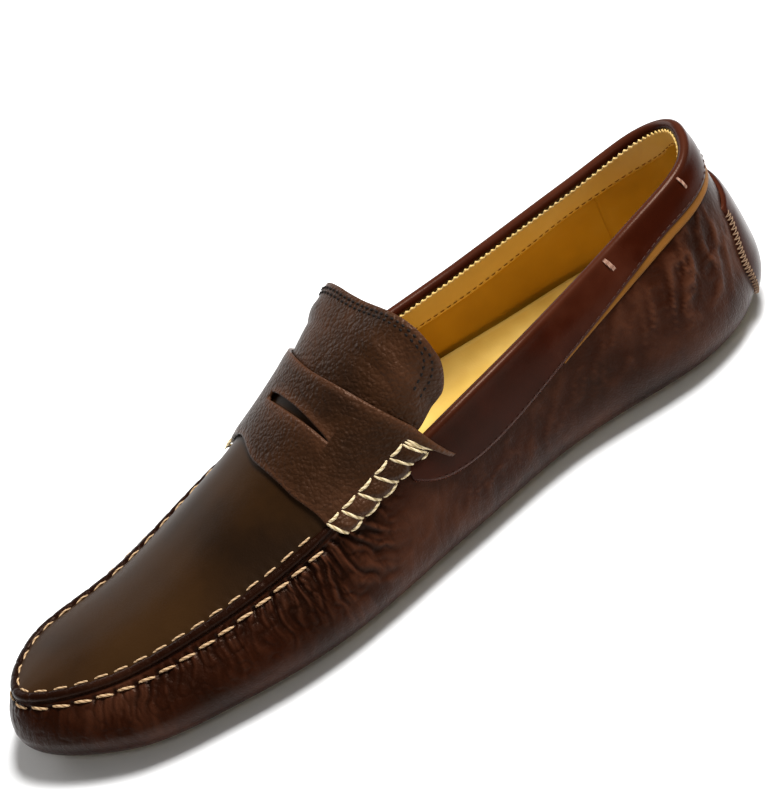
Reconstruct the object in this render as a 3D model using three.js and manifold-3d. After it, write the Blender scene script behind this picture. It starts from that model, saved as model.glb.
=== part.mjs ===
// A driving moccasin for the left foot: one wrapped leather shell, a plug sewn in on top,
// a strap laced across the instep, a flexing tongue, a bound collar and rubber pads that
// come through windows in the bottom. Millimetres, +X to the toe, +Y to the outer side, +Z up.
import * as THREE from "three";
import { mergeVertices } from "three/addons/utils/BufferGeometryUtils.js";
import Module from "manifold-3d";

// ---- Driving dimensions ----------------------------------------------------------------
const SHOE_LENGTH = 292.5;
const SHOE_WIDTH = 94.5;
const COLLAR_HEIGHT = 68.5;
const GAP = 0.3; // clearance between pieces that touch
const CURVE_EASE = 0.15; // more clearance where two layers curl together
const WALL_LEATHER = 1.6;
const PLUG_LEATHER = 1.6;
const STRAP_LEATHER = 1.3;
const TONGUE_LEATHER = 1.4;
const BAND_LEATHER = 1.0;
const ACCENT_LEATHER = 0.6;
const LINING_LEATHER = 0.8;
const COUNTER_BOARD = 0.7;
const PAD_STAND = 3.0; // how far the rubber stands out below the leather bottom
const PAD_FLANGE = 1.0;
const FLANGE_LIP = 1.0; // how far the flange reaches past its window
const RIB_DEPTH = 1.4;
const BOARD_THICKNESS = 1.2;
const FOAM_THICKNESS = 3.0;
const SOCK_THICKNESS = 1.2;
const FEATHER_WIDTH = 11; // how far the side curls in under the foot
const PLUG_SEAM_DROP = 2.6; // the shell's edge stops this far below the plug's edge
const BAND_INNER_LEG = 4;
const PINKED_DROP = 2.4; // the lining's pinked edge lies this far below the rolled topline
const ACCENT_SHOW = 2.8;
const PINKED_STRIP = 8;
const STRAP_SLOT_WIDTH = 3.6;
const THREAD_RADIUS = 0.6;
const LACING_STEPS = 5;
const LACING_LEAN = 0.1; // stations by which the laced ladder leans back down to the shell
const BARTACK_LENGTH = 5;
const BARTACK_WIDTH = 1.8;

// ---- The last ----------------------------------------------------------------------------
// Sixteen stations go round the shoe: 0 the heel, 4 the outer throat, 8 the toe, 12 the inner
// throat. Each is [from heel, across, height] of the last, which the sizes above then scale.
const LAST = { length: 292.5, width: 94.5, height: 68.5 };
const BULGE = [
  [0, 0, 22], [9, 26, 22], [37, 38, 21], [88, 34, 20.5], [135, 39.5, 18.5], [187, 46, 17],
  [228, 41, 16], [267, 27.5, 15.5], [292.5, -5, 15], [272, -36, 15], [235, -44.5, 15],
  [193, -48.5, 17], [140, -41, 18.5], [82, -35, 20.5], [38.5, -34, 21], [8, -21.5, 22],
];
const TOPLINE = [
  [3, 0, 68.5], [12, 16, 66.5], [40, 23, 63], [88, 28, 54.5], [134, 35, 50.5], [187, 33, 38.5],
  [225, 28, 33], [260, 15.5, 28.5], [285, -5, 29], [268, -28.5, 26.5], [232, -28.5, 29.5],
  [193, -29.5, 38], [140, -27, 51.5], [84, -26, 53.5], [40, -20, 59], [12, -14.5, 64],
];
const STATIONS = BULGE.length;
const TOE = STATIONS / 2;
const THROAT = STATIONS / 4;
const BULGE_W = 0.35; // the share of a wall section that lies below its widest point

// The arch of the plug and tongue above the chord between the two seams, by station from the
// toe: [station, rise, power of the shoulder, fullness].
const ARCH = [
  [0, 0, 2.2, 1], [1, 4.5, 2.2, 1], [2, 7.5, 2.2, 1], [3, 14, 2.2, 1.05], [3.5, 20.5, 2.4, 1.15],
  [4, 29, 2.8, 1.4], [5, 33, 3.6, 2.2],
];
const TONGUE_RUN = new THREE.Vector3(-18, 0, 2); // where one more station leads past the throat
// How far the tongue's feet draw in behind the throat, and how far its shoulders then swell
// over them, on the outer and inner sides.
const TONGUE_TUCK = { outer: 3, inner: 4 };
const TONGUE_SWELL = { outer: 8, inner: 14 };
const TUCK_RUN = 0.45; // the stations over which they do

// ---- Levels, from the ground up ----------------------------------------------------------
const BOTTOM_Z = PAD_STAND;
const FLANGE_Z = BOTTOM_Z + WALL_LEATHER + GAP;
const BOARD_Z = FLANGE_Z + PAD_FLANGE + GAP;
const FOAM_Z = BOARD_Z + BOARD_THICKNESS + GAP;
const SOCK_Z = FOAM_Z + FOAM_THICKNESS + GAP;

// ---- Layers, measured outwards from the shell's outer face -------------------------------
const BAND_OUT = GAP + BAND_LEATHER;
const BAND_IN = -WALL_LEATHER - GAP - BAND_LEATHER;
const LINING_OUT = BAND_IN - GAP;
const LINING_IN = LINING_OUT - LINING_LEATHER;
const INNER_LAYER_OUT = -WALL_LEATHER - GAP - CURVE_EASE;
const BAND_RADIUS = (BAND_OUT - BAND_IN) / 2;

const scaled = ([x, y, z]) => new THREE.Vector3(
  (x * SHOE_LENGTH) / LAST.length,
  (y * SHOE_WIDTH) / LAST.width,
  (z * COLLAR_HEIGHT) / LAST.height,
);
const bulgeStations = BULGE.map(scaled);
const toplineStations = TOPLINE.map(scaled);

// A point on a smooth closed loop through the stations.
function loopPoint(stations, u) {
  const i = Math.floor(u);
  const f = u - i;
  const at = (n) => stations[((n % STATIONS) + STATIONS) % STATIONS];
  const blend = (a, b, c, d) => 0.5 * (2 * b + (c - a) * f + (2 * a - 5 * b + 4 * c - d) * f ** 2
    + (3 * b - a - 3 * c + d) * f ** 3);
  const [p, q, r, s] = [at(i - 1), at(i), at(i + 1), at(i + 2)];
  return new THREE.Vector3(
    blend(p.x, q.x, r.x, s.x),
    blend(p.y, q.y, r.y, s.y),
    blend(p.z, q.z, r.z, s.z),
  );
}

// The direction straight out of the shoe at a station, level with the ground.
function outward(u) {
  const along = loopPoint(bulgeStations, u + 0.02).sub(loopPoint(bulgeStations, u - 0.02));
  return new THREE.Vector3(-along.y, along.x, 0).normalize();
}

// The shell's outer face: w is 0 under the foot, BULGE_W at the widest point, 1 at the top.
function wallPoint(u, w) {
  const bulge = loopPoint(bulgeStations, u);
  if (w <= BULGE_W) {
    const a = (w / BULGE_W) * (Math.PI / 2);
    const p = bulge.clone().addScaledVector(outward(u), -FEATHER_WIDTH * (1 - Math.sin(a)));
    p.z = BOTTOM_Z + (bulge.z - BOTTOM_Z) * (1 - Math.cos(a));
    return p;
  }
  const v = (w - BULGE_W) / (1 - BULGE_W);
  const top = loopPoint(toplineStations, u);
  const p = bulge.clone().lerp(top, 0.25 * v + 0.75 * v * v);
  p.z = bulge.z + (top.z - bulge.z) * v;
  return p;
}

function wallNormal(u, w) {
  const du = wallPoint(u + 0.02, w).sub(wallPoint(u - 0.02, w));
  const dw = wallPoint(u, Math.min(w + 0.01, 1)).sub(wallPoint(u, Math.max(w - 0.01, 0)));
  return dw.cross(du).normalize();
}

const wallAt = (u, w, out) => wallPoint(u, w).addScaledVector(wallNormal(u, w), out);

// The w that lies a distance below the topline.
function wBelow(u, below) {
  const height = loopPoint(toplineStations, u).distanceTo(loopPoint(bulgeStations, u));
  return 1 - (below / height) * (1 - BULGE_W);
}

const wallBelow = (u, below, out) => wallAt(u, wBelow(u, below), out);

// One row of ARCH, or a smooth step between two.
function archAt(k) {
  let i = 0;
  while (i < ARCH.length - 2 && k > ARCH[i + 1][0]) i += 1;
  const slope = (a, col) => {
    const [lo, hi] = [Math.max(a - 1, 0), Math.min(a + 1, ARCH.length - 1)];
    return (ARCH[hi][col] - ARCH[lo][col]) / (ARCH[hi][0] - ARCH[lo][0]);
  };
  const span = ARCH[i + 1][0] - ARCH[i][0];
  const f = (k - ARCH[i][0]) / span;
  return [1, 2, 3].map((col) => {
    const [a, b] = [ARCH[i][col], ARCH[i + 1][col]];
    const [ma, mb] = [slope(i, col) * span, slope(i + 1, col) * span];
    return a + f * ma + f * f * (3 * (b - a) - 2 * ma - mb) + f ** 3 * (ma + mb - 2 * (b - a));
  });
}

// The upper surface of plug, strap and tongue: k counts stations back from the toe, t goes
// from -1 at the inner seam to 1 at the outer one.
function plugPoint(k, t) {
  const reach = Math.min(k, THROAT);
  const outer = loopPoint(toplineStations, TOE - reach);
  const inner = loopPoint(toplineStations, TOE + reach);
  const tuck = THREE.MathUtils.smoothstep(k, THROAT - 0.1, THROAT + TUCK_RUN);
  if (k > THROAT) {
    outer.addScaledVector(TONGUE_RUN, k - THROAT);
    inner.addScaledVector(TONGUE_RUN, k - THROAT);
  }
  outer.y -= TONGUE_TUCK.outer * tuck;
  inner.y += TONGUE_TUCK.inner * tuck;
  const [rise, power, fullness] = archAt(k);
  const height = Math.max(0, 1 - Math.abs(t) ** power) ** (1 / fullness);
  const p = inner.lerp(outer, (1 + t) / 2);
  p.y += t * (t > 0 ? TONGUE_SWELL.outer : TONGUE_SWELL.inner) * tuck * height;
  p.z += rise * height;
  return p;
}

function plugNormal(k, t) {
  const dk = plugPoint(k + 0.02, t).sub(plugPoint(Math.max(k - 0.02, 0.001), t));
  const [lo, hi] = [Math.max(t - 0.01, -1), Math.min(t + 0.01, 1)];
  const dt = plugPoint(k, hi).sub(plugPoint(k, lo));
  return dt.cross(dk).normalize();
}

const plugAt = (k, t, out) => plugPoint(k, t).addScaledVector(plugNormal(k, t), out);

// ---- Solids --------------------------------------------------------------------------------
const wasm = await Module();
wasm.setup();

// Turns the faces of a closed mesh outwards and gives it flat-free normals.
function facingOut(points, index) {
  let volume = 0;
  for (let i = 0; i < index.length; i += 3) {
    const [a, b, c] = [points[index[i]], points[index[i + 1]], points[index[i + 2]]];
    volume += a.dot(b.clone().cross(c));
  }
  const faces = volume > 0 ? index : index.toReversed();
  const geometry = new THREE.BufferGeometry().setFromPoints(points);
  geometry.setIndex(faces);
  geometry.computeVertexNormals();
  return geometry;
}

// A sheet of leather as a closed body: face(s, r, side) gives its two faces, side 0 and 1,
// over s and r from 0 to 1. A ring closes on itself along s.
function sheet(alongS, alongR, face, ring = false) {
  const points = [];
  for (const side of [0, 1]) {
    for (let i = 0; i <= alongS - (ring ? 1 : 0); i += 1) {
      for (let j = 0; j <= alongR; j += 1) points.push(face(i / alongS, j / alongR, side));
    }
  }
  const half = points.length / 2;
  const at = (i, j, side) => side * half + (ring ? i % alongS : i) * (alongR + 1) + j;
  const index = [];
  const quad = (a, b, c, d) => index.push(a, b, c, a, c, d);
  for (let i = 0; i < alongS; i += 1) {
    for (let j = 0; j < alongR; j += 1) {
      quad(at(i, j, 0), at(i + 1, j, 0), at(i + 1, j + 1, 0), at(i, j + 1, 0));
      quad(at(i, j, 1), at(i, j + 1, 1), at(i + 1, j + 1, 1), at(i + 1, j, 1));
    }
    quad(at(i, 0, 0), at(i, 0, 1), at(i + 1, 0, 1), at(i + 1, 0, 0));
    quad(at(i, alongR, 0), at(i + 1, alongR, 0), at(i + 1, alongR, 1), at(i, alongR, 1));
  }
  if (!ring) {
    for (let j = 0; j < alongR; j += 1) {
      quad(at(0, j, 0), at(0, j + 1, 0), at(0, j + 1, 1), at(0, j, 1));
      quad(at(alongS, j, 0), at(alongS, j, 1), at(alongS, j + 1, 1), at(alongS, j + 1, 0));
    }
  }
  return facingOut(points, index);
}

function solidFrom(geometry) {
  const bare = new THREE.BufferGeometry();
  bare.setAttribute("position", geometry.getAttribute("position"));
  if (geometry.index) bare.setIndex(geometry.index);
  const merged = mergeVertices(bare, 1e-4);
  return new wasm.Manifold(new wasm.Mesh({
    numProp: 3,
    vertProperties: merged.attributes.position.array,
    triVerts: new Uint32Array(merged.index.array),
  }));
}

function geometryFrom(solid) {
  const mesh = solid.getMesh();
  const geometry = new THREE.BufferGeometry();
  geometry.setAttribute("position", new THREE.BufferAttribute(mesh.vertProperties, 3));
  geometry.setIndex(new THREE.BufferAttribute(mesh.triVerts, 1));
  geometry.computeVertexNormals();
  return geometry;
}

// An outline in the ground plane, raised from one level to another.
function prism(outline, low, high) {
  const shape = new THREE.Shape(outline.map((p) => new THREE.Vector2(p.x, p.y)));
  const geometry = new THREE.ExtrudeGeometry(shape, { depth: high - low, bevelEnabled: false });
  return geometry.translate(0, 0, low);
}

function mix(a, b, f) {
  return a + (b - a) * f;
}

function smooth(a, b, x) {
  return THREE.MathUtils.smoothstep(x, a, b);
}

// ---- The bottom: outlines shared by shell, pads and footbed -------------------------------
const OUTLINE_STEPS = 48;

// The edge of the flat bottom, moved outwards by a distance.
function bottomOutline(out) {
  const points = [];
  for (let i = 0; i < OUTLINE_STEPS; i += 1) {
    const u = (i / OUTLINE_STEPS) * STATIONS;
    points.push(loopPoint(bulgeStations, u).addScaledVector(outward(u), out - FEATHER_WIDTH));
  }
  return points;
}

// Where each pad starts and ends, from the heel, with its rib pitch and how wide a margin of
// leather lies beside it.
const PAD_STRIP = 8.5; // leather between the toe and ball pads, and before the heel pad
const TOE_PAD_LENGTH = 36;
const BALL_PAD_LENGTH = 61;
const WAIST_PAD_LENGTH = 69;
const PAD_JOINT = 3; // leather between the ball and waist pads
const HEEL_PAD_END = 91;
const TOE_LIFT_RUN = 8; // the toe pad's front rises over this length
const HEEL_LIFT_RUN = 4; // and the heel pad's back over this
const PAD_MARGIN = 2.4;
const WINDOW_GAP = GAP;
const alongShoe = SHOE_LENGTH / LAST.length;
const toePadEnd = SHOE_LENGTH - FEATHER_WIDTH - PAD_MARGIN;
const toePadStart = toePadEnd - TOE_PAD_LENGTH * alongShoe;
const ballPadEnd = toePadStart - PAD_STRIP;
const ballPadStart = ballPadEnd - BALL_PAD_LENGTH * alongShoe;
const waistPadEnd = ballPadStart - PAD_JOINT;
const heelPadEnd = HEEL_PAD_END * alongShoe;
const waistPadStart = Math.max(heelPadEnd + PAD_STRIP, waistPadEnd - WAIST_PAD_LENGTH * alongShoe);
const PADS = [
  { name: "toe_pad", from: toePadStart, to: toePadEnd, pitch: 3.5, groove: 1.1, plain: 13 },
  { name: "ball_pad", from: ballPadStart, to: ballPadEnd, pitch: 4.4, groove: 1.3, plain: 0 },
  { name: "waist_pad", from: waistPadStart, to: waistPadEnd, pitch: 2.8, groove: 1.0, plain: 0 },
  { name: "heel_pad", from: FEATHER_WIDTH + PAD_MARGIN / 2, to: heelPadEnd, pitch: 4.2,
    groove: 1.3, plain: 0 },
];

// A rectangle with rounded corners, across the shoe.
function padSlab(pad, grow, low, high) {
  const [x0, x1] = [pad.from - grow, pad.to + grow];
  const half = SHOE_WIDTH;
  const shape = new THREE.Shape();
  shape.moveTo(x0, -half);
  shape.lineTo(x1, -half);
  shape.lineTo(x1, half);
  shape.lineTo(x0, half);
  shape.closePath();
  const slab = new THREE.ExtrudeGeometry(shape, { depth: high - low, bevelEnabled: false });
  return slab.translate(0, 0, low);
}

// The pad's outline as a solid block: the bottom's outline cut to the pad's length.
function padBlock(pad, grow, low, high) {
  const outline = solidFrom(prism(bottomOutline(grow - PAD_MARGIN), low, high));
  return outline.intersect(solidFrom(padSlab(pad, grow, low, high)));
}

// The rubber's ground side: grooves across the shoe, with the toe and heel ends rising.
function ribbedSlab(pad) {
  const rise = BOTTOM_Z * 0.7;
  const profile = [];
  const top = FLANGE_Z + GAP;
  const isToe = pad.name === "toe_pad";
  const isHeel = pad.name === "heel_pad";
  const ribsEnd = pad.to - pad.plain * (isToe ? 1 : 0) - pad.pitch;
  const startFlat = pad.from + (isHeel ? HEEL_LIFT_RUN : 0);
  profile.push([pad.from - GAP, top], [pad.from - GAP, isHeel ? rise : 0], [startFlat, 0]);
  for (let x = startFlat + pad.pitch - pad.groove; x < ribsEnd; x += pad.pitch) {
    profile.push([x, 0], [x + 0.2, RIB_DEPTH], [x + pad.groove - 0.2, RIB_DEPTH], [x + pad.groove, 0]);
  }
  if (isToe) profile.push([pad.to - TOE_LIFT_RUN, 0]);
  profile.push([pad.to + GAP, isToe ? rise : 0], [pad.to + GAP, top]);
  const shape = new THREE.Shape(profile.map(([x, z]) => new THREE.Vector2(x, z)));
  const slab = new THREE.ExtrudeGeometry(shape, { depth: 2 * SHOE_WIDTH, bevelEnabled: false });
  return slab.rotateX(Math.PI / 2).translate(0, SHOE_WIDTH, 0);
}

function rubberPad(pad) {
  const body = padBlock(pad, 0, -GAP, FLANGE_Z + GAP).intersect(solidFrom(ribbedSlab(pad)));
  const flange = padBlock(pad, FLANGE_LIP, FLANGE_Z, FLANGE_Z + PAD_FLANGE);
  return geometryFrom(body.add(flange));
}

// ---- The shell and what is sewn into it ----------------------------------------------------
const RING_STEPS = 64;
const rearOf = (u) => Math.abs(u > TOE ? u - STATIONS : u) < THROAT - 0.05;

// How far below the topline the shell's own edge lies.
function shellEdge(u) {
  const fromHeel = Math.abs(u > TOE ? u - STATIONS : u);
  return mix(BAND_RADIUS, PLUG_SEAM_DROP, smooth(THROAT - 0.2, THROAT, fromHeel));
}

function moccasinWall() {
  const ring = sheet(RING_STEPS, 9, (s, r, side) => {
    const u = s * STATIONS;
    return wallAt(u, r * wBelow(u, shellEdge(u)), side ? -WALL_LEATHER : 0);
  }, true);
  const overlap = 0.6;
  const floor = solidFrom(prism(bottomOutline(overlap), BOTTOM_Z, BOTTOM_Z + WALL_LEATHER));
  let shell = solidFrom(ring).add(floor);
  for (const pad of PADS) {
    shell = shell.subtract(padBlock(pad, WINDOW_GAP, -GAP, FLANGE_Z + BOTTOM_Z));
  }
  return geometryFrom(shell);
}

// Where the strap starts and ends, and where the tongue ends, by station from the toe.
const STRAP_FRONT = 3.22;
const STRAP_BACK = 3.72;
const STRAP_BACK_SWEEP = 0.26;
const STRAP_SPAN = 0.97;
const SLOT_AT = 3.55;
const SLOT_SPAN = 0.56;
const TONGUE_END = 4.68;
const TONGUE_SLANT = 0.26; // how much further back its outer side reaches
const TONGUE_CORNER = { outer: 0.95, inner: 0.8 }; // where its corners start to round
const TONGUE_SPAN = 0.97;
const strapBack = (t) => STRAP_BACK + STRAP_BACK_SWEEP * t * t;

// The tongue's free end slants across the instep and rounds off at both corners.
function tongueEnd(t) {
  const reach = TONGUE_END + TONGUE_SLANT * smooth(-0.3, 0.8, t);
  const corner = t > 0 ? TONGUE_CORNER.outer : TONGUE_CORNER.inner;
  return mix(reach, THROAT + 0.15, smooth(corner, 1.03, Math.abs(t)));
}

function plug() {
  const start = 0.05;
  return sheet(22, 12, (s, r, side) => {
    const t = 2 * r - 1;
    const k = start + (strapBack(t) - 0.02 - start) * s ** 1.25;
    return plugAt(k, t, side ? -PLUG_LEATHER : 0);
  });
}

function plugLining() {
  const out = -PLUG_LEATHER - GAP;
  return sheet(10, 6, (s, r, side) => {
    const t = (2 * r - 1) * 0.84;
    const k = mix(0.9, STRAP_BACK - 0.1, s);
    return plugAt(k, t, side ? out - LINING_LEATHER : out);
  });
}

// The lens-shaped opening across the strap.
function slotCutter() {
  const reach = 4;
  return sheet(12, 1, (s, r, side) => {
    const t = mix(-SLOT_SPAN, SLOT_SPAN, s);
    const lens = (STRAP_SLOT_WIDTH / 2) * (0.25 + 0.75 * Math.sin(Math.PI * s));
    const p = plugAt(SLOT_AT, t, side ? reach : 0.05);
    p.x += lens * (1 - 2 * r);
    return p;
  });
}

function pennyStrap() {
  const out = GAP + STRAP_LEATHER;
  const strap = sheet(6, 18, (s, r, side) => {
    const t = (2 * r - 1) * STRAP_SPAN;
    return plugAt(mix(STRAP_FRONT, strapBack(t), s), t, side ? GAP : out);
  });
  return geometryFrom(solidFrom(strap).subtract(solidFrom(slotCutter())));
}

function tongueSheet(out, inner, inset) {
  return sheet(7, 14, (s, r, side) => {
    const t = Math.sin((r - 0.5) * Math.PI) * (TONGUE_SPAN - inset * 0.02);
    const start = strapBack(t) + 0.02 + inset * 0.01;
    return plugAt(mix(start, tongueEnd(t) - inset * 0.04, s), t, side ? inner : out);
  });
}

// ---- The collar ------------------------------------------------------------------------------
const COLLAR_SPAN = THROAT - 0.06;
const HEEL_LINING_SPAN = 2;

// How wide the band is on the outer face: narrow at the back, deep at the throat.
function bandWidth(u) {
  const a = Math.abs(u);
  return mix(mix(13, 10, smooth(0.3, 2, a)), 21, smooth(2, 3.7, a)) - 5 * smooth(3.75, 4.05, a);
}

// Down the outside, over the topline and down the inside, at one distance from the shell's
// middle layer.
function bandFace(u, r, out) {
  const middle = -WALL_LEATHER / 2;
  const radius = out - middle;
  const outer = 0.45;
  const over = 0.35;
  if (r < outer) return wallBelow(u, mix(bandWidth(u), BAND_RADIUS, r / outer), out);
  if (r < outer + over) {
    const a = ((r - outer) / over) * Math.PI;
    return wallBelow(u, BAND_RADIUS - radius * Math.sin(a), middle + radius * Math.cos(a));
  }
  const down = ((r - outer - over) / (1 - outer - over)) * BAND_INNER_LEG;
  return wallBelow(u, BAND_RADIUS + down, middle - radius);
}

function collarBand() {
  return sheet(36, 11, (s, r, side) => {
    const u = mix(-COLLAR_SPAN, COLLAR_SPAN, s);
    return bandFace(u, r, side ? GAP : BAND_OUT);
  });
}

function collarAccent() {
  const span = 2.85;
  return sheet(28, 1, (s, r, side) => {
    const u = mix(-span, span, s);
    const show = ACCENT_SHOW * (0.35 + 0.65 * (1 - smooth(2, span, Math.abs(u))));
    return wallBelow(u, bandWidth(u) + GAP + r * show, side ? GAP : GAP + ACCENT_LEATHER);
  });
}

// A layer inside the shell between two lines; low and high give w. The rows crowd together
// at the bottom, where the section curls in.
function insideLayer(from, to, [steps, rows], low, high, out, inner) {
  return sheet(steps, rows, (s, r, side) => {
    const u = mix(from, to, s);
    return wallAt(u, mix(low(u), high(u), r ** 1.5), side ? inner : out);
  });
}

const liningTop = (u) => wBelow(u, BAND_RADIUS + PINKED_DROP);
const stripBottom = (u) => wBelow(u, BAND_RADIUS + PINKED_DROP + PINKED_STRIP);
const liningBottom = () => 0.27;
const stationGap = 0.01;

function lining(from, to, steps) {
  const top = (u) => wBelow(u, BAND_RADIUS + PINKED_DROP + PINKED_STRIP + GAP);
  return insideLayer(from, to, steps, liningBottom, top, LINING_OUT, LINING_IN);
}

function heelCounter() {
  const top = (u) => wBelow(u, BAND_RADIUS + BAND_INNER_LEG + 1);
  const inner = INNER_LAYER_OUT - COUNTER_BOARD;
  return insideLayer(-HEEL_LINING_SPAN, HEEL_LINING_SPAN, [16, 5], () => 0.2, top,
    INNER_LAYER_OUT, inner);
}

function forepartLining() {
  const [from, to] = [THROAT + 0.25, STATIONS - THROAT - 0.25];
  const top = (u) => wBelow(u, PLUG_SEAM_DROP + 2.4);
  return insideLayer(from, to, [30, 5], () => 0.22, top, INNER_LAYER_OUT,
    INNER_LAYER_OUT - LINING_LEATHER);
}

// The padded patch behind the heel.
function heelPatch() {
  const span = 1.0;
  const edge = 1.0;
  const crown = 1.8;
  return sheet(12, 8, (s, r, side) => {
    const across = 2 * s - 1;
    const u = across * span * mix(1.08, 0.82, r);
    const dome = (1 - across ** 4) * (1 - (2 * r - 1) ** 4);
    return wallAt(u, mix(0.2, 0.66, r), side ? GAP : GAP + edge + crown * dome);
  });
}

// ---- Thread ------------------------------------------------------------------------------------
function thread(points) {
  const path = new THREE.CatmullRomCurve3(points);
  const section = new THREE.Shape();
  section.absarc(0, 0, THREAD_RADIUS, 0, Math.PI * 2);
  const geometry = new THREE.ExtrudeGeometry(section, {
    steps: (points.length - 1) * 2,
    curveSegments: 3,
    bevelEnabled: false,
    extrudePath: path,
  });
  return solidFrom(geometry);
}

// The laced ladder that holds one end of the strap down to the shell. side is 1 or -1.
function strapLacing(side) {
  const lift = GAP + THREAD_RADIUS;
  const onStrap = [];
  const onShell = [];
  const over = [];
  for (let i = 0; i <= LACING_STEPS; i += 1) {
    const k = mix(STRAP_FRONT + 0.03, STRAP_BACK + STRAP_BACK_SWEEP - 0.12, i / LACING_STEPS);
    const u = TOE - side * (k + LACING_LEAN);
    onStrap.push(plugAt(k, side * 0.94, GAP + STRAP_LEATHER + lift));
    onShell.push(wallBelow(u, PLUG_SEAM_DROP + 2.4, lift));
    const out = plugNormal(k, side * 0.97).add(wallNormal(u, 0.99)).normalize();
    const seam = loopPoint(toplineStations, u + (side * LACING_LEAN) / 2);
    over.push(seam.addScaledVector(out, STRAP_LEATHER + 2.4));
  }
  let lacing = thread(onStrap).add(thread(onShell));
  for (let i = 0; i <= LACING_STEPS; i += 1) {
    lacing = lacing.add(thread([onStrap[i], over[i], onShell[i]]));
  }
  return geometryFrom(lacing);
}

// A short bar of stitching across the band. u is its station.
function bartack(u) {
  const half = (BARTACK_WIDTH / 2) * (STATIONS / (2 * SHOE_LENGTH + SHOE_WIDTH));
  const out = BAND_OUT + GAP;
  return sheet(2, 4, (s, r, side) => {
    const below = BAND_RADIUS + 0.5 + r * BARTACK_LENGTH;
    return wallBelow(u + mix(-half, half, s), below, side ? out : out + THREAD_RADIUS);
  });
}

// ---- Materials ---------------------------------------------------------------------------------
const finish = (color, roughness) => new THREE.MeshStandardMaterial({
  color,
  roughness,
  metalness: 0,
});
const MATERIALS = {
  shell: finish(0x34150e, 0.42),
  plug: finish(0x38230f, 0.48),
  pebbled: finish(0x362012, 0.52),
  collar: finish(0x2e110d, 0.36),
  accent: finish(0x8a5a20, 0.55),
  lining: finish(0xc08a3a, 0.6),
  sock: finish(0xc89c58, 0.62),
  canvas: finish(0xb8a888, 0.9),
  board: finish(0x8f7a5a, 0.85),
  foam: finish(0xe6dcc0, 0.9),
  rubber: finish(0x7d5519, 0.5),
  thread: finish(0xc8b088, 0.8),
  tack: finish(0xa07060, 0.8),
};

const shoe = new THREE.Group();

function add(name, material, geometry) {
  const mesh = new THREE.Mesh(geometry, MATERIALS[material]);
  mesh.name = name;
  shoe.add(mesh);
}

add("moccasin_wall", "shell", moccasinWall());
add("plug", "plug", plug());
add("plug_lining", "canvas", plugLining());
add("forepart_lining", "canvas", forepartLining());
add("penny_strap", "pebbled", pennyStrap());
add("strap_lacing_lateral", "thread", strapLacing(1));
add("strap_lacing_medial", "thread", strapLacing(-1));
add("tongue", "pebbled", tongueSheet(0, -TONGUE_LEATHER, 0));
add("tongue_lining", "lining",
  tongueSheet(-TONGUE_LEATHER - GAP, -TONGUE_LEATHER - GAP - LINING_LEATHER, 1));
add("collar_band", "collar", collarBand());
add("collar_accent", "accent", collarAccent());
add("collar_lining", "lining", insideLayer(-COLLAR_SPAN, COLLAR_SPAN, [36, 2], stripBottom, liningTop,
  LINING_OUT, LINING_IN));
add("quarter_lining_lateral", "lining",
  lining(HEEL_LINING_SPAN + stationGap, COLLAR_SPAN, [8, 5]));
add("quarter_lining_medial", "lining",
  lining(-COLLAR_SPAN, -HEEL_LINING_SPAN - stationGap, [8, 5]));
add("heel_lining", "lining", lining(-HEEL_LINING_SPAN, HEEL_LINING_SPAN, [16, 5]));
add("heel_counter", "board", heelCounter());
add("heel_patch", "shell", heelPatch());
for (const [name, u] of [["lateral_front", 2.27], ["lateral_rear", 1], ["medial_front", -2.27],
  ["medial_rear", -1]]) {
  add(`bartack_${name}`, "tack", bartack(u));
}
add("insole_board", "board", prism(bottomOutline(0), BOARD_Z, BOARD_Z + BOARD_THICKNESS));
add("insole_foam", "foam", prism(bottomOutline(1.5), FOAM_Z, FOAM_Z + FOAM_THICKNESS));
add("sock", "sock", prism(bottomOutline(3), SOCK_Z, SOCK_Z + SOCK_THICKNESS));
for (const pad of PADS) add(pad.name, "rubber", rubberPad(pad));

const box = new THREE.Box3().setFromObject(shoe);
const centre = box.getCenter(new THREE.Vector3());
shoe.position.set(-centre.x, -centre.y, -box.min.z);

export default shoe;
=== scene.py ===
"""A man's driving moccasin, left foot: hand-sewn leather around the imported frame."""
import math

import bmesh
import bpy
import numpy as np
from mathutils import Matrix, Vector


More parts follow.
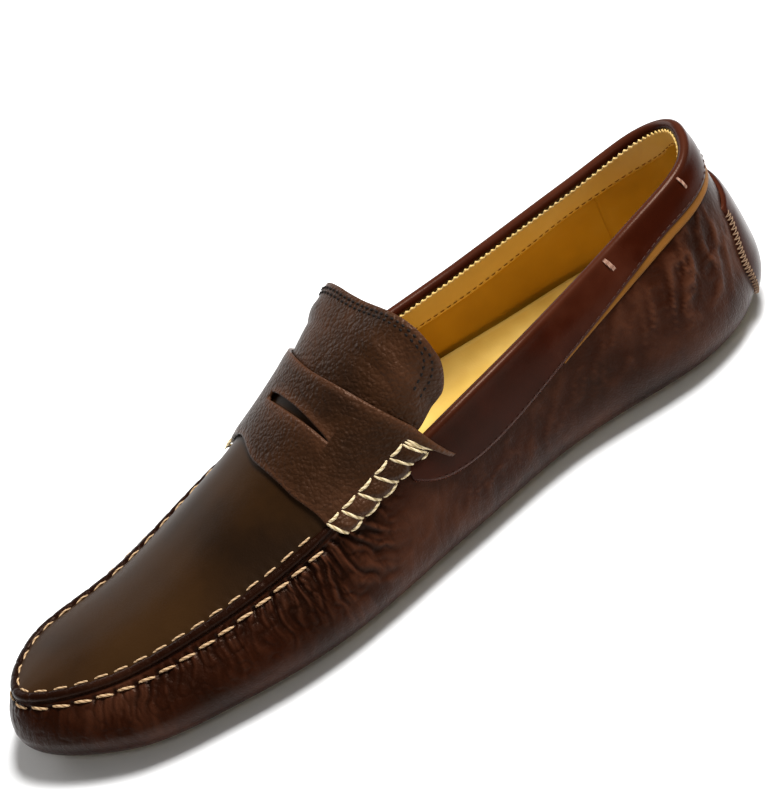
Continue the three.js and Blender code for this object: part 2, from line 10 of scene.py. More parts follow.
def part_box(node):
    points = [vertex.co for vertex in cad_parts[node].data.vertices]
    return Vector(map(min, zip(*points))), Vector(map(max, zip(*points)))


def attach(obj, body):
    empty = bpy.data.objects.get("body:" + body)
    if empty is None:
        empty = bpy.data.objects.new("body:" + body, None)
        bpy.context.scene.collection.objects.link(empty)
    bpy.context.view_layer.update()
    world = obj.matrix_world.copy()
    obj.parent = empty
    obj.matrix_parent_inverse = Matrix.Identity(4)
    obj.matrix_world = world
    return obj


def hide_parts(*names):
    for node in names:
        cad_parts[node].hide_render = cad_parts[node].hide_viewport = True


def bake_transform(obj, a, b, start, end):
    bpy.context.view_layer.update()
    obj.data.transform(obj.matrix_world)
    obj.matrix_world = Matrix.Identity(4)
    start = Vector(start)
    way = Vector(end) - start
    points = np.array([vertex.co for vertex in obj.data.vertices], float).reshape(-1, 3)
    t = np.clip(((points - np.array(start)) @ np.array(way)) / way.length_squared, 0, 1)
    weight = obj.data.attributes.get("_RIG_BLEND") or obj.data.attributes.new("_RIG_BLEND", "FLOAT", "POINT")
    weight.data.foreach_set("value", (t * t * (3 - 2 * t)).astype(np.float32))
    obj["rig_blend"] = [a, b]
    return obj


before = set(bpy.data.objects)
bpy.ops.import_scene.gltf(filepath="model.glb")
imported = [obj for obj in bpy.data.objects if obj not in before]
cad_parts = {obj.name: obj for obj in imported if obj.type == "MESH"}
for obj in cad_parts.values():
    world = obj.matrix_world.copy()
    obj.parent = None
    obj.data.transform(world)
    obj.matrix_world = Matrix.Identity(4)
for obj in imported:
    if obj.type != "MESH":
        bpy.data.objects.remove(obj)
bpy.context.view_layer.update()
scene = bpy.context.scene
MM = 0.001

# ---- Sizes, in millimetres -------------------------------------------------------------------
BOTTOM_Z = 3.0  # the leather bottom's height over the ground
FEATHER = 11.0  # how far the side curls in under the foot
BULGE_W = 0.35  # the share of a side's section below its widest point
WALL_LEATHER = 1.6
PLUG_LEATHER = 1.6
SOLE_EDGE = 4.4  # the bottom leather's edge, over the ground
GAP = 0.3
STRAP_LEATHER = 1.3
TONGUE_LEATHER = 1.4
BAND_LEATHER = 1.0
LINING_LEATHER = 0.8
SOCK_Z = 11.0
SOCK_LEATHER = 1.2
STATIONS = 16
TOE = 8
THROAT = 4
STEP = 0.02  # the step, in stations, over which slopes are taken

# The last's sixteen stations: 0 the heel, 4 the outer throat, 8 the toe, 12 the inner throat.
BULGE = np.array([
    [0, 0, 22], [9, 26, 22], [37, 38, 21], [88, 34, 20.5], [135, 39.5, 18.5], [187, 46, 17],
    [228, 41, 16], [267, 27.5, 15.5], [292.5, -5, 15], [272, -36, 15], [235, -44.5, 15],
    [193, -48.5, 17], [140, -41, 18.5], [82, -35, 20.5], [38.5, -34, 21], [8, -21.5, 22],
])
TOPLINE = np.array([
    [3, 0, 68.5], [12, 16, 66.5], [40, 23, 63], [88, 28, 54.5], [134, 35, 50.5],
    [187, 33, 38.5], [225, 28, 33], [260, 15.5, 28.5], [285, -5, 29], [268, -28.5, 26.5],
    [232, -28.5, 29.5], [193, -29.5, 38], [140, -27, 51.5], [84, -26, 53.5], [40, -20, 59],
    [12, -14.5, 64],
])
# The arch of plug and tongue: station from the toe, rise, power of the shoulder, fullness.
ARCH = np.array([
    [0, 0, 2.2, 1], [1, 4.5, 2.2, 1], [2, 7.5, 2.2, 1], [3, 14, 2.2, 1.05],
    [3.5, 20.5, 2.4, 1.15], [4, 29, 2.8, 1.4], [5, 33, 3.6, 2.2],
])
TONGUE_RUN = np.array([-18.0, 0.0, 2.0])  # how far a station behind the throat goes
TONGUE_TUCK = (3.0, 4.0)  # outer side, inner side
TONGUE_SWELL = (8.0, 14.0)  # how far the flare spreads each side


# ---- The last's surface ----------------------------------------------------------------------
def smooth(low, high, x):
    """0 below low, 1 above high, with a soft step between."""
    f = np.clip((np.asarray(x, float) - low) / (high - low), 0, 1)
    return f * f * (3 - 2 * f)


def mix(a, b, f):
    return a + (b - a) * f


def unit(v):
    return v / np.maximum(np.linalg.norm(v, axis=-1, keepdims=True), 1e-9)


def loop(stations, u):
    """Points on the smooth closed loop through the stations."""
    u = np.asarray(u, float)
    i = np.floor(u).astype(int)
    f = (u - i)[..., None]
    a, b, c, d = (stations[(i + n) % STATIONS] for n in (-1, 0, 1, 2))
    return 0.5 * (2 * b + (c - a) * f + (2 * a - 5 * b + 4 * c - d) * f**2
                  + (3 * b - a - 3 * c + d) * f**3)


def outward(u):
    """Level direction out of the shoe."""
    along = loop(BULGE, u + STEP) - loop(BULGE, u - STEP)
    level = np.stack([-along[..., 1], along[..., 0], np.zeros_like(along[..., 0])], -1)
    return unit(level)


def wall_point(u, w):
    """The side's surface: u is the station, w runs from the bottom 0 to the topline 1."""
    u, w = np.broadcast_arrays(np.asarray(u, float), np.asarray(w, float))
    bulge, top = loop(BULGE, u), loop(TOPLINE, u)
    a = np.clip(w / BULGE_W, 0, 1) * math.pi / 2
    low = bulge - outward(u) * (FEATHER * (1 - np.sin(a)))[..., None]
    low[..., 2] = BOTTOM_Z + (bulge[..., 2] - BOTTOM_Z) * (1 - np.cos(a))
    v = (w - BULGE_W) / (1 - BULGE_W)
    high = bulge + (top - bulge) * (0.25 * v + 0.75 * v * v)[..., None]
    high[..., 2] = bulge[..., 2] + (top[..., 2] - bulge[..., 2]) * v
    return np.where((w <= BULGE_W)[..., None], low, high)


def wall_normal(u, w):
    du = wall_point(u + STEP, w) - wall_point(u - STEP, w)
    dw = wall_point(u, np.minimum(w + 0.01, 1)) - wall_point(u, np.maximum(w - 0.01, 0))
    return unit(np.cross(dw, du))


def wall_at(u, w, out):
    """A point on the side, out mm off the surface."""
    return wall_point(u, w) + wall_normal(u, w) * np.asarray(out)[..., None]


def side_height(u):
    """From the widest point up to the topline, in mm."""
    return np.linalg.norm(loop(TOPLINE, u) - loop(BULGE, u), axis=-1)


def w_below(u, below):
    return 1 - below / side_height(u) * (1 - BULGE_W)


def wall_below(u, below, out):
    """A point so many mm below the topline."""
    u, below, out = np.broadcast_arrays(*(np.asarray(x, float) for x in (u, below, out)))
    return wall_at(u, w_below(u, below), out)


def arch(k):
    """Rise, shoulder power and fullness at a station, on a smooth curve through ARCH."""
    k = np.asarray(k, float)
    i = np.clip(np.searchsorted(ARCH[:, 0], k, side="right") - 1, 0, len(ARCH) - 2)
    slopes = np.zeros((len(ARCH), 3))
    last = len(ARCH) - 1
    for n in range(len(ARCH)):
        lo, hi = max(n - 1, 0), min(n + 1, last)
        slopes[n] = (ARCH[hi, 1:] - ARCH[lo, 1:]) / (ARCH[hi, 0] - ARCH[lo, 0])
    span = (ARCH[i + 1, 0] - ARCH[i, 0])[..., None]
    f = (k - ARCH[i, 0])[..., None] / span
    a, b = ARCH[i, 1:], ARCH[i + 1, 1:]
    ma, mb = slopes[i] * span, slopes[i + 1] * span
    return a + f * ma + f**2 * (3 * (b - a) - 2 * ma - mb) + f**3 * (ma + mb - 2 * (b - a))


def plug_point(k, t):
    """The top's surface: k is stations from the toe, t runs from -1 (inner) to 1 (outer)."""
    k, t = np.broadcast_arrays(np.asarray(k, float), np.asarray(t, float))
    reach = np.minimum(k, THROAT)
    past = np.maximum(k - THROAT, 0)[..., None]
    outer = loop(TOPLINE, TOE - reach) + past * TONGUE_RUN
    inner = loop(TOPLINE, TOE + reach) + past * TONGUE_RUN
    tuck = smooth(THROAT - 0.1, THROAT + 0.45, k)
    outer[..., 1] -= TONGUE_TUCK[0] * tuck
    inner[..., 1] += TONGUE_TUCK[1] * tuck
    swell = smooth(THROAT - 0.3, THROAT + 0.3, k)
    rise, power, fullness = np.moveaxis(arch(k), -1, 0)
    height = np.maximum(0, 1 - np.abs(t) ** power) ** (1 / fullness)
    p = inner + (outer - inner) * ((1 + t) / 2)[..., None]
    p[..., 1] += t * np.where(t > 0, *TONGUE_SWELL) * swell * height
    p[..., 2] += rise * height
    return p


def plug_normal(k, t):
    dk = plug_point(k + STEP, t) - plug_point(np.maximum(k - STEP, 0.001), t)
    dt = plug_point(k, np.minimum(t + 0.01, 1)) - plug_point(k, np.maximum(t - 0.01, -1))
    return unit(np.cross(dt, dk))


def plug_at(k, t, out):
    k, t, out = np.broadcast_arrays(*(np.asarray(x, float) for x in (k, t, out)))
    return plug_point(k, t) + plug_normal(k, t) * out[..., None]


def frame_shift():
    """From the last's own heel point to the frame's origin, in mm."""
    u, w = np.meshgrid(np.arange(64) / 4, np.linspace(0, 1, 41))
    points = wall_point(u, w).reshape(-1, 3)
    low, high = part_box("moccasin_wall")
    middle = (np.array(low) + np.array(high)) / 2 / MM
    shift = middle - (points.min(0) + points.max(0)) / 2
    shift[2] = 0
    return shift


SHIFT = frame_shift()


def to_frame(points):
    return (np.asarray(points) + SHIFT) * MM


# ---- Random wobble, the same each run --------------------------------------------------------
RNG = np.random.default_rng(11)
LATTICE = RNG.uniform(-1, 1, (256, 256))


def wobble(x, y, size):
    """Smooth noise from -1 to 1 with features of about that size."""
    x, y = np.asarray(x, float) / size + 300, np.asarray(y, float) / size + 300
    i, j = np.floor(x).astype(int), np.floor(y).astype(int)
    fx, fy = x - i, y - j
    fx, fy = fx * fx * (3 - 2 * fx), fy * fy * (3 - 2 * fy)
    i, j, i_next, j_next = i % 256, j % 256, (i + 1) % 256, (j + 1) % 256
    low = mix(LATTICE[i, j], LATTICE[i_next, j], fx)
    return mix(low, mix(LATTICE[i, j_next], LATTICE[i_next, j_next], fx), fy)


# ---- Materials -------------------------------------------------------------------------------
def colour(text):
    """A #RRGGBB screen colour as linear RGBA."""
    parts = [int(text[i:i + 2], 16) / 255 for i in (1, 3, 5)]
    return [c / 12.92 if c <= 0.04045 else ((c + 0.055) / 1.055) ** 2.4 for c in parts] + [1]


def new_material(name):
    material = bpy.data.materials.new(name)
    material.use_nodes = True
    tree = material.node_tree
    tree.nodes.clear()
    return material, tree


def node(tree, kind, links=None, **settings):
    """Adds a node. links maps its inputs to another node's output or to a value."""
    made = tree.nodes.new(kind)
    for key, value in settings.items():
        setattr(made, key, value)
    for key, value in (links or {}).items():
        if isinstance(value, bpy.types.NodeSocket):
            tree.links.new(value, made.inputs[key])
        else:
            made.inputs[key].default_value = value
    return made


def finish_material(tree, **inputs):
    shader = node(tree, "ShaderNodeBsdfPrincipled", inputs)
    out = node(tree, "ShaderNodeOutputMaterial")
    tree.links.new(shader.outputs[0], out.inputs["Surface"])


def ramp(tree, factor, stops):
    made = node(tree, "ShaderNodeValToRGB", {"Fac": factor})
    elements = made.color_ramp.elements
    while len(elements) < len(stops):
        elements.new(0.5)
    for element, (place, text) in zip(elements, stops):
        element.position = place
        element.color = colour(text)
    return made.outputs["Color"]


def grain_size(millimetres):
    return 1 / (millimetres * MM)


def leather(name, dark, base, light, grain=0.8, depth=0.12, rough=0.42, patch=26,
            pebble=None, pebble_depth=0.35, coat=0.0, shine=0.14, gloss="#D8B49C",
            crease=0.0):
    """Dyed leather. dark, base and light are its burnish and patch that burnish's size in mm. The light tone
    is also mixed in for wear and painted highlights, the dark tone for painted shade.
    grain is the pore spacing in mm, coarser than real so that it shows; depth is the pores'
    depth in mm. pebble is the size of tumbled pebbles and crease the depth of fine folds."""
    material, tree = new_material(name)
    where = node(tree, "ShaderNodeTexCoord").outputs["Object"]
    cloud = node(tree, "ShaderNodeTexNoise", {"Vector": where, "Scale": grain_size(patch),
                                              "Detail": 4.0, "Roughness": 0.55})
    tone = ramp(tree, cloud.outputs["Fac"], [(0.3, dark), (0.52, base), (0.95, light)])
    # Two vertex attributes: one mixes in the light tone for wear and painted highlights, the other mixes in
    # the dark tone as painted shade.
    worn_and_lit = node(tree, "ShaderNodeAttribute", attribute_name="wear_and_highlight").outputs["Fac"]
    worn_and_lit_tone = node(tree, "ShaderNodeMix", {0: worn_and_lit, 6: tone, 7: colour(light)},
                     data_type="RGBA")
    painted_shade = node(tree, "ShaderNodeAttribute", attribute_name="painted_shade").outputs["Fac"]
    shaded = node(tree, "ShaderNodeMix", {0: painted_shade, 6: worn_and_lit_tone.outputs[2], 7: colour(dark)},
                data_type="RGBA")
    pores = node(tree, "ShaderNodeTexVoronoi", {"Vector": where, "Scale": grain_size(grain)},
                 feature="SMOOTH_F1")
    bump = node(tree, "ShaderNodeBump", {"Height": pores.outputs["Distance"],
                                         "Strength": 0.6, "Distance": depth * MM})
    normal = bump.outputs[0]
    if pebble:
        bend = node(tree, "ShaderNodeTexNoise", {"Vector": where,
                                                 "Scale": grain_size(pebble * 2)})
        bent = node(tree, "ShaderNodeMix", {0: 0.002, 4: where, 5: bend.outputs["Color"]},
                    data_type="VECTOR")
        cells = node(tree, "ShaderNodeTexVoronoi", {"Vector": bent.outputs[1],
                                                    "Scale": grain_size(pebble)},
                     feature="F1")
        normal = node(tree, "ShaderNodeBump", {
            "Height": cells.outputs["Distance"], "Strength": 1.0,
            "Distance": pebble_depth * MM, "Normal": normal}, invert=True).outputs[0]
    if crease:
        stretch = node(tree, "ShaderNodeMapping", {"Vector": where,
                                                   "Scale": (1.0, 1.0, 0.35)})
        folds = node(tree, "ShaderNodeTexNoise", {
            "Vector": stretch.outputs[0], "Scale": grain_size(3.2), "Detail": 5.0,
            "Roughness": 0.65, "Distortion": 0.6})
        normal = node(tree, "ShaderNodeBump", {
            "Height": folds.outputs["Fac"], "Strength": 1.0, "Distance": crease * MM,
            "Normal": normal}).outputs[0]
    polish = node(tree, "ShaderNodeMapRange", {"Value": cloud.outputs["Fac"],
                                               "To Min": rough - 0.07, "To Max": rough + 0.1})
    finish_material(tree, **{"Base Color": shaded.outputs[2], "Roughness": polish.outputs[0],
                             "Normal": normal, "IOR": 1.5, "Specular IOR Level": shine,
                             "Specular Tint": colour(gloss),
                             "Coat Weight": coat, "Coat Roughness": 0.25})
    return material


def waxed_thread(name, dark, light):
    """Twisted waxed thread: fine slanting plies with a dull wax shine."""
    material, tree = new_material(name)
    where = node(tree, "ShaderNodeUVMap").outputs[0]
    ply = math.tau / 10  # one band of the wave texture
    twist = node(tree, "ShaderNodeMapping", {"Vector": where,
                                             "Scale": (2 * ply, 4 * ply, 1.0)})
    plies = node(tree, "ShaderNodeTexWave", {"Vector": twist.outputs[0], "Scale": 1.0,
                                             "Distortion": 0.6},
                 wave_type="BANDS", bands_direction="DIAGONAL")
    tone = ramp(tree, plies.outputs["Fac"], [(0.1, dark), (0.6, light)])
    bump = node(tree, "ShaderNodeBump", {"Height": plies.outputs["Fac"], "Strength": 0.6,
                                         "Distance": 0.1 * MM})
    finish_material(tree, **{"Base Color": tone, "Roughness": 0.62,
                             "Specular IOR Level": 0.15, "Normal": bump.outputs[0]})
    return material


def gum_rubber():
    """Moulded gum rubber: honey brown, slightly translucent looking, with fine mould bloom."""
    material, tree = new_material("gum_rubber_moulded")
    where = node(tree, "ShaderNodeTexCoord").outputs["Object"]
    cloud = node(tree, "ShaderNodeTexNoise", {"Vector": where, "Scale": grain_size(18),
                                              "Detail": 5.0})
    tone = ramp(tree, cloud.outputs["Fac"], [(0.3, "#6E4512"), (0.55, "#86581C"),
                                             (0.8, "#99702C")])
    bloom = node(tree, "ShaderNodeTexNoise", {"Vector": where, "Scale": grain_size(0.6)})
    bump = node(tree, "ShaderNodeBump", {"Height": bloom.outputs["Fac"], "Strength": 0.4,
                                         "Distance": 0.08 * MM})
    finish_material(tree, **{"Base Color": tone, "Roughness": 0.5, "IOR": 1.52,
                             "Subsurface Weight": 0.08, "Subsurface Radius": (0.004, 0.002, 0.001),
                             "Normal": bump.outputs[0]})
    return material


def woven(name, dark, light):
    """Cotton drill: a diagonal weave with a dull face."""
    material, tree = new_material(name)
    where = node(tree, "ShaderNodeTexCoord").outputs["Object"]
    weave = node(tree, "ShaderNodeTexWave", {"Vector": where, "Scale": grain_size(2.5),
                                             "Distortion": 0.4},
                 wave_type="BANDS", bands_direction="DIAGONAL")
    tone = ramp(tree, weave.outputs["Fac"], [(0.1, dark), (0.7, light)])
    bump = node(tree, "ShaderNodeBump", {"Height": weave.outputs["Fac"], "Strength": 0.5,
                                         "Distance": 0.15 * MM})
    finish_material(tree, **{"Base Color": tone, "Roughness": 0.9,
                             "Normal": bump.outputs[0]})
    return material


def pressed_board(name, dark, light):
    """Felted fibre board or open foam: speckled and dull."""
    material, tree = new_material(name)
    where = node(tree, "ShaderNodeTexCoord").outputs["Object"]
    speck = node(tree, "ShaderNodeTexNoise", {"Vector": where, "Scale": grain_size(1.2),
                                              "Detail": 6.0})
    tone = ramp(tree, speck.outputs["Fac"], [(0.35, dark), (0.65, light)])
    bump = node(tree, "ShaderNodeBump", {"Height": speck.outputs["Fac"], "Strength": 0.5,
                                         "Distance": 0.15 * MM})
    finish_material(tree, **{"Base Color": tone, "Roughness": 0.92,
                             "Normal": bump.outputs[0]})
    return material


# Waxed full grain: deep red brown, a satin face; its light tone is painted as highlight on the crests of its
# folds, its dark tone as shade in them.
SHELL = leather("leather_waxed_shell", "#110401", "#230B03", "#502E1E", grain=0.7, rough=0.32,
                crease=0.36, shine=0.13, patch=34)
# Smooth full grain, duller and greener brown: the quiet face on top of the foot.
PLUG = leather("leather_smooth_plug", "#180D05", "#281707", "#35210B", grain=0.6, depth=0.05,
               rough=0.43, patch=45)
# Tumbled grain: small pebbles that catch the light on strap and tongue.
PEBBLED = leather("leather_pebbled", "#160B05", "#281508", "#4E301F", grain=0.7, rough=0.4,
                  pebble=1.4, pebble_depth=0.34, shine=0.26, patch=34)
# Polished calf: dark red brown with a soft sheen, and a painted highlight where it rolls over the edge.
COLLAR = leather("leather_polished_collar", "#150401", "#280902", "#50291A", grain=0.6,
                 depth=0.04, rough=0.25, coat=0.02, shine=0.12, patch=45)
# Undyed edge, dull tan: one warm line under the binding.
ACCENT = leather("leather_raw_tan_edge", "#3C220A", "#643E14", "#825826", rough=0.55)
# Vegetable-tanned calf, smooth and golden inside the shoe.
LINING = leather("leather_calf_lining", "#A0741A", "#BA8A24", "#D4AC54", grain=0.5,
                 depth=0.04, rough=0.5, patch=60)
# The same calf for the pinked strip along the topline, paler: partly its own tone, partly painted light, as
# the lining below lies in shade.
STRIP = leather("leather_lining_strip_pale_and_lit", "#CCA65A", "#DEBA6E", "#ECD4A6", grain=0.5,
               depth=0.04, rough=0.5, patch=60)
# Pale smooth calf underfoot, a little cleaner than the lining.
SOCK = leather("leather_pale_sock", "#B08C3C", "#D2B462", "#DEC684", grain=0.5, depth=0.04,
               rough=0.5, patch=60)
# Buffed taupe leather: matt, drab and felted, round the rubber pads.
SOLE_LEATHER = leather("leather_buffed_taupe", "#6E6248", "#8E8264", "#A3977A", grain=0.5,
                       depth=0.08, rough=0.75, patch=40)
# Waxed threads: cream at the lacing, rubbed darker at the seam, then the fine ones.
THREAD = waxed_thread("thread_waxed_cream", "#A8946C", "#DCC8A2")
SEAM_THREAD = waxed_thread("thread_waxed_rubbed", "#8A6C4C", "#C2A27C")
TACK = waxed_thread("thread_dusty_pink", "#6E4A3C", "#9A7866")
BROWN_THREAD = waxed_thread("thread_waxed_brown", "#20100A", "#44291E")
DARK_THREAD = waxed_thread("thread_dark_brown", "#060201", "#100703")
TAN_THREAD = waxed_thread("thread_fine_tan", "#7A4C14", "#A8722C")
STONE_THREAD = waxed_thread("thread_fine_drab", "#5E4636", "#94785E")
PALE_THREAD = waxed_thread("thread_fine_stone", "#9C9274", "#D6CCB0")
# Gum rubber for the pads, and the drill, board and foam that stay hidden.
RUBBER = gum_rubber()
CANVAS = woven("cotton_drill", "#9A8A6C", "#C4B698")
BOARD = pressed_board("fibre_board_pressed", "#7A6648", "#A08C6A")
FOAM = pressed_board("latex_foam", "#D8CCA8", "#EFE6CC")


# ---- Making pieces ---------------------------------------------------------------------------
def new_bmesh():
    bm = bmesh.new()
    bm.loops.layers.uv.new("UVMap")
    bm.verts.layers.float.new("wear_and_highlight")
    bm.verts.layers.float.new("painted_shade")
    return bm


def settle(bm, verts, points, wear_and_highlight=0, painted_shade=0):
    """Moves vertices to points, in mm from the last's heel, and paints their wear and painted highlight, and
    their painted shade.
    """
    wear_and_highlight_layer = bm.verts.layers.float["wear_and_highlight"]
    painted_shade_layer = bm.verts.layers.float["painted_shade"]
    wear_and_highlight, painted_shade, _ = np.broadcast_arrays(wear_and_highlight, painted_shade, points[..., 0])
    for vert, point, worn_and_lit, shaded in zip(verts, to_frame(points), wear_and_highlight, painted_shade):
        vert.co = point
        vert[wear_and_highlight_layer] = worn_and_lit
        vert[painted_shade_layer] = shaded


def add_grid(bm, steps, place):
    """Adds a sheet bent to place(s, r), where s and r run from 0 to 1."""
    made = bmesh.ops.create_grid(bm, x_segments=steps[0], y_segments=steps[1], size=1,
                                 calc_uvs=True)["verts"]
    flat = np.array([v.co[:2] for v in made])
    settle(bm, made, *place((flat[:, 0] + 1) / 2, (flat[:, 1] + 1) / 2))
    return made


def facing(bm, outside):
    """Turns the sheet round unless most of its faces look the way outside(place) points."""
    bm.normal_update()
    sample = list(bm.faces)[:: max(1, len(bm.faces) // 60)]
    votes = [f.normal.dot(Vector(outside(f.calc_center_median()))) > 0 for f in sample]
    if sum(votes) < len(votes) / 2:
        bmesh.ops.reverse_faces(bm, faces=bm.faces[:])


def out_of_shoe(place):
    return (0, place.y, place.z - 0.02)


def into_shoe(place):
    return (0, -place.y, 0.05 - place.z)


def make_piece(name, bm, material, body, nodes=()):
    mesh = bpy.data.meshes.new(name)
    bm.to_mesh(mesh)
    bm.free()
    mesh.materials.append(material)
    mesh.polygons.foreach_set("use_smooth", [True] * len(mesh.polygons))
    made = bpy.data.objects.new(name, mesh)
    scene.collection.objects.link(made)
    if body:
        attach(made, body)
    if nodes:
        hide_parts(*nodes)
    return made


def thicken(piece, millimetres):
    """Gives a sheet its thickness, on the side away from its faces."""
    made = piece.modifiers.new("Leather", "SOLIDIFY")
    made.thickness = millimetres * MM
    made.offset = -1
    made.use_even_offset = False


def make_sheet(name, steps, place, outside, material, node_name, thickness,
               body="upper"):
    """A sheet bent to place(s, r) that stands for one node of the frame."""
    bm = new_bmesh()
    add_grid(bm, steps, place)
    facing(bm, outside)
    made = make_piece(name, bm, material, body, [node_name])
    thicken(made, thickness)
    return made


# ---- Seam lines ------------------------------------------------------------------------------
STITCH_PITCH = 7.4
STITCH_LENGTH = 6.1
RIDGE_RADIUS = 1.7
SEAM_FROM = 4.83  # the station where the seam comes out from under the strap
STRAP_FRONT = 3.22
STRAP_TOP = GAP + STRAP_LEATHER
FINE_STATIONS = np.linspace(-STATIONS, 2 * STATIONS, 3 * STATIONS * 60 + 1)
FINE_LENGTHS = np.concatenate([[0], np.cumsum(np.linalg.norm(
    np.diff(loop(TOPLINE, FINE_STATIONS), axis=0), axis=1))])
FINE_LENGTHS -= np.interp(0, FINE_STATIONS, FINE_LENGTHS)


def seam_length(u):
    """Distance along the topline from the heel, in mm."""
    return np.interp(u, FINE_STATIONS, FINE_LENGTHS)


def station_at(length):
    return np.interp(length, FINE_LENGTHS, FINE_STATIONS)


def from_heel(u):
    """Stations from the heel, the same on both sides, 0 to 8."""
    u = np.mod(u, STATIONS)
    return np.where(u > TOE, STATIONS - u, u)


def seam_frame(u):
    """The seam's own point and its outward and upward directions."""
    u = np.asarray(u, float)
    k = np.maximum(TOE - from_heel(u), 0.3)
    side = np.where(np.mod(u, STATIONS) < TOE, 1.0, -1.0)
    up = unit(wall_normal(u, np.full(u.shape, 0.995)) + plug_normal(k, side * 0.97))
    along = loop(TOPLINE, u + STEP) - loop(TOPLINE, u - STEP)
    return loop(TOPLINE, u), unit(np.cross(up, along)), up


def ridge(u, angle, radius):
    """Round the raised seam: angle 0 is over the wall, pi / 2 on top and pi over the plug."""
    point, out, up = seam_frame(u)
    round_out = out * (radius * np.cos(angle))[..., None]
    return point + round_out + up * (radius * np.sin(angle) - 0.35)[..., None]


# ---- The shell -------------------------------------------------------------------------------
def gathers(u, below):
    """How far the gathered leather sinks below the plug seam, in mm, and where a painted highlight goes on
    its crests.
    """
    along = seam_length(u)
    a = from_heel(u)
    fan = smooth(4.2, 4.7, a) * (1 - smooth(4.9, 5.9, a))
    side = np.where(np.mod(u, STATIONS) < TOE, 1, -1)
    lean = np.where(a < 4.9, 0.75 * (4.9 - a) / 0.5, -0.16) * side
    run = along + lean * below + 1.6 * wobble(along, below, 6)
    wide = 1 - np.abs(np.sin(math.pi * run / (STITCH_PITCH / 2)))
    fine_run = run + 0.9 * wobble(along, below, 3.5)
    narrow = 1 - np.abs(np.sin(math.pi * fine_run / 2.1))
    net = np.clip(1 - 3 * np.abs(wobble(along * 1.4 + 0.3 * below, below * 0.9, 3.8)), 0, 1)
    length = mix(8, 17, 0.5 + 0.5 * wobble(along, 0 * below, 5)) * (1 + 0.5 * fan)
    fade = np.exp(-(below / length) ** 1.6) * smooth(1.6, 3.4, below)
    forepart = smooth(4.2, 4.5, a) * mix(1, 0.4, smooth(6.4, 7.8, a))
    strength = fade * forepart * (0.65 + 0.85 * fan)
    spread = 0.55 * np.exp(-(below / 26) ** 2) * smooth(1.6, 5, below) * forepart
    fold = 0.62 * wide + 0.45 * narrow
    sink = 1.2 * fold * strength + 0.6 * net * spread
    return -sink, 0.8 * strength * np.clip(1 - 1.5 * fold - 0.8 * net, 0, 1)


def creases(u, w):
    """Soft walking creases on the heel's sides, and faint ones on the outer side."""
    a = from_heel(u)
    heel = np.exp(-((a - 1.7) / 0.8) ** 2) * np.exp(-((w - 0.6) / 0.2) ** 2)
    flank = 0.35 * np.exp(-((a - 3.6) / 1.0) ** 2) * np.exp(-((w - 0.4) / 0.2) ** 2)
    along = seam_length(u)
    high = w * 60
    lines = np.clip(1 - 2.4 * np.abs(wobble(along * 1.3 + high * 0.6, high * 0.5, 5)), 0, 1)
    fine = np.clip(1 - 2.4 * np.abs(wobble(along + high * 0.5, high * 0.7, 2.6)), 0, 1)
    return (0.75 * lines + 0.5 * fine - 0.35) * (heel + flank)


def stitch_phase(along):
    """0 in the gap between two stitches, 0.5 at the middle of one."""
    return np.mod(along / STITCH_PITCH, 1)


def wall_row_below(u):
    """How far below the topline the outer stitches lie."""
    return 3.1 + 0.9 * smooth(5.2, 6.2, from_heel(u)) - 0.9 * smooth(6.3, 7.4, from_heel(u))


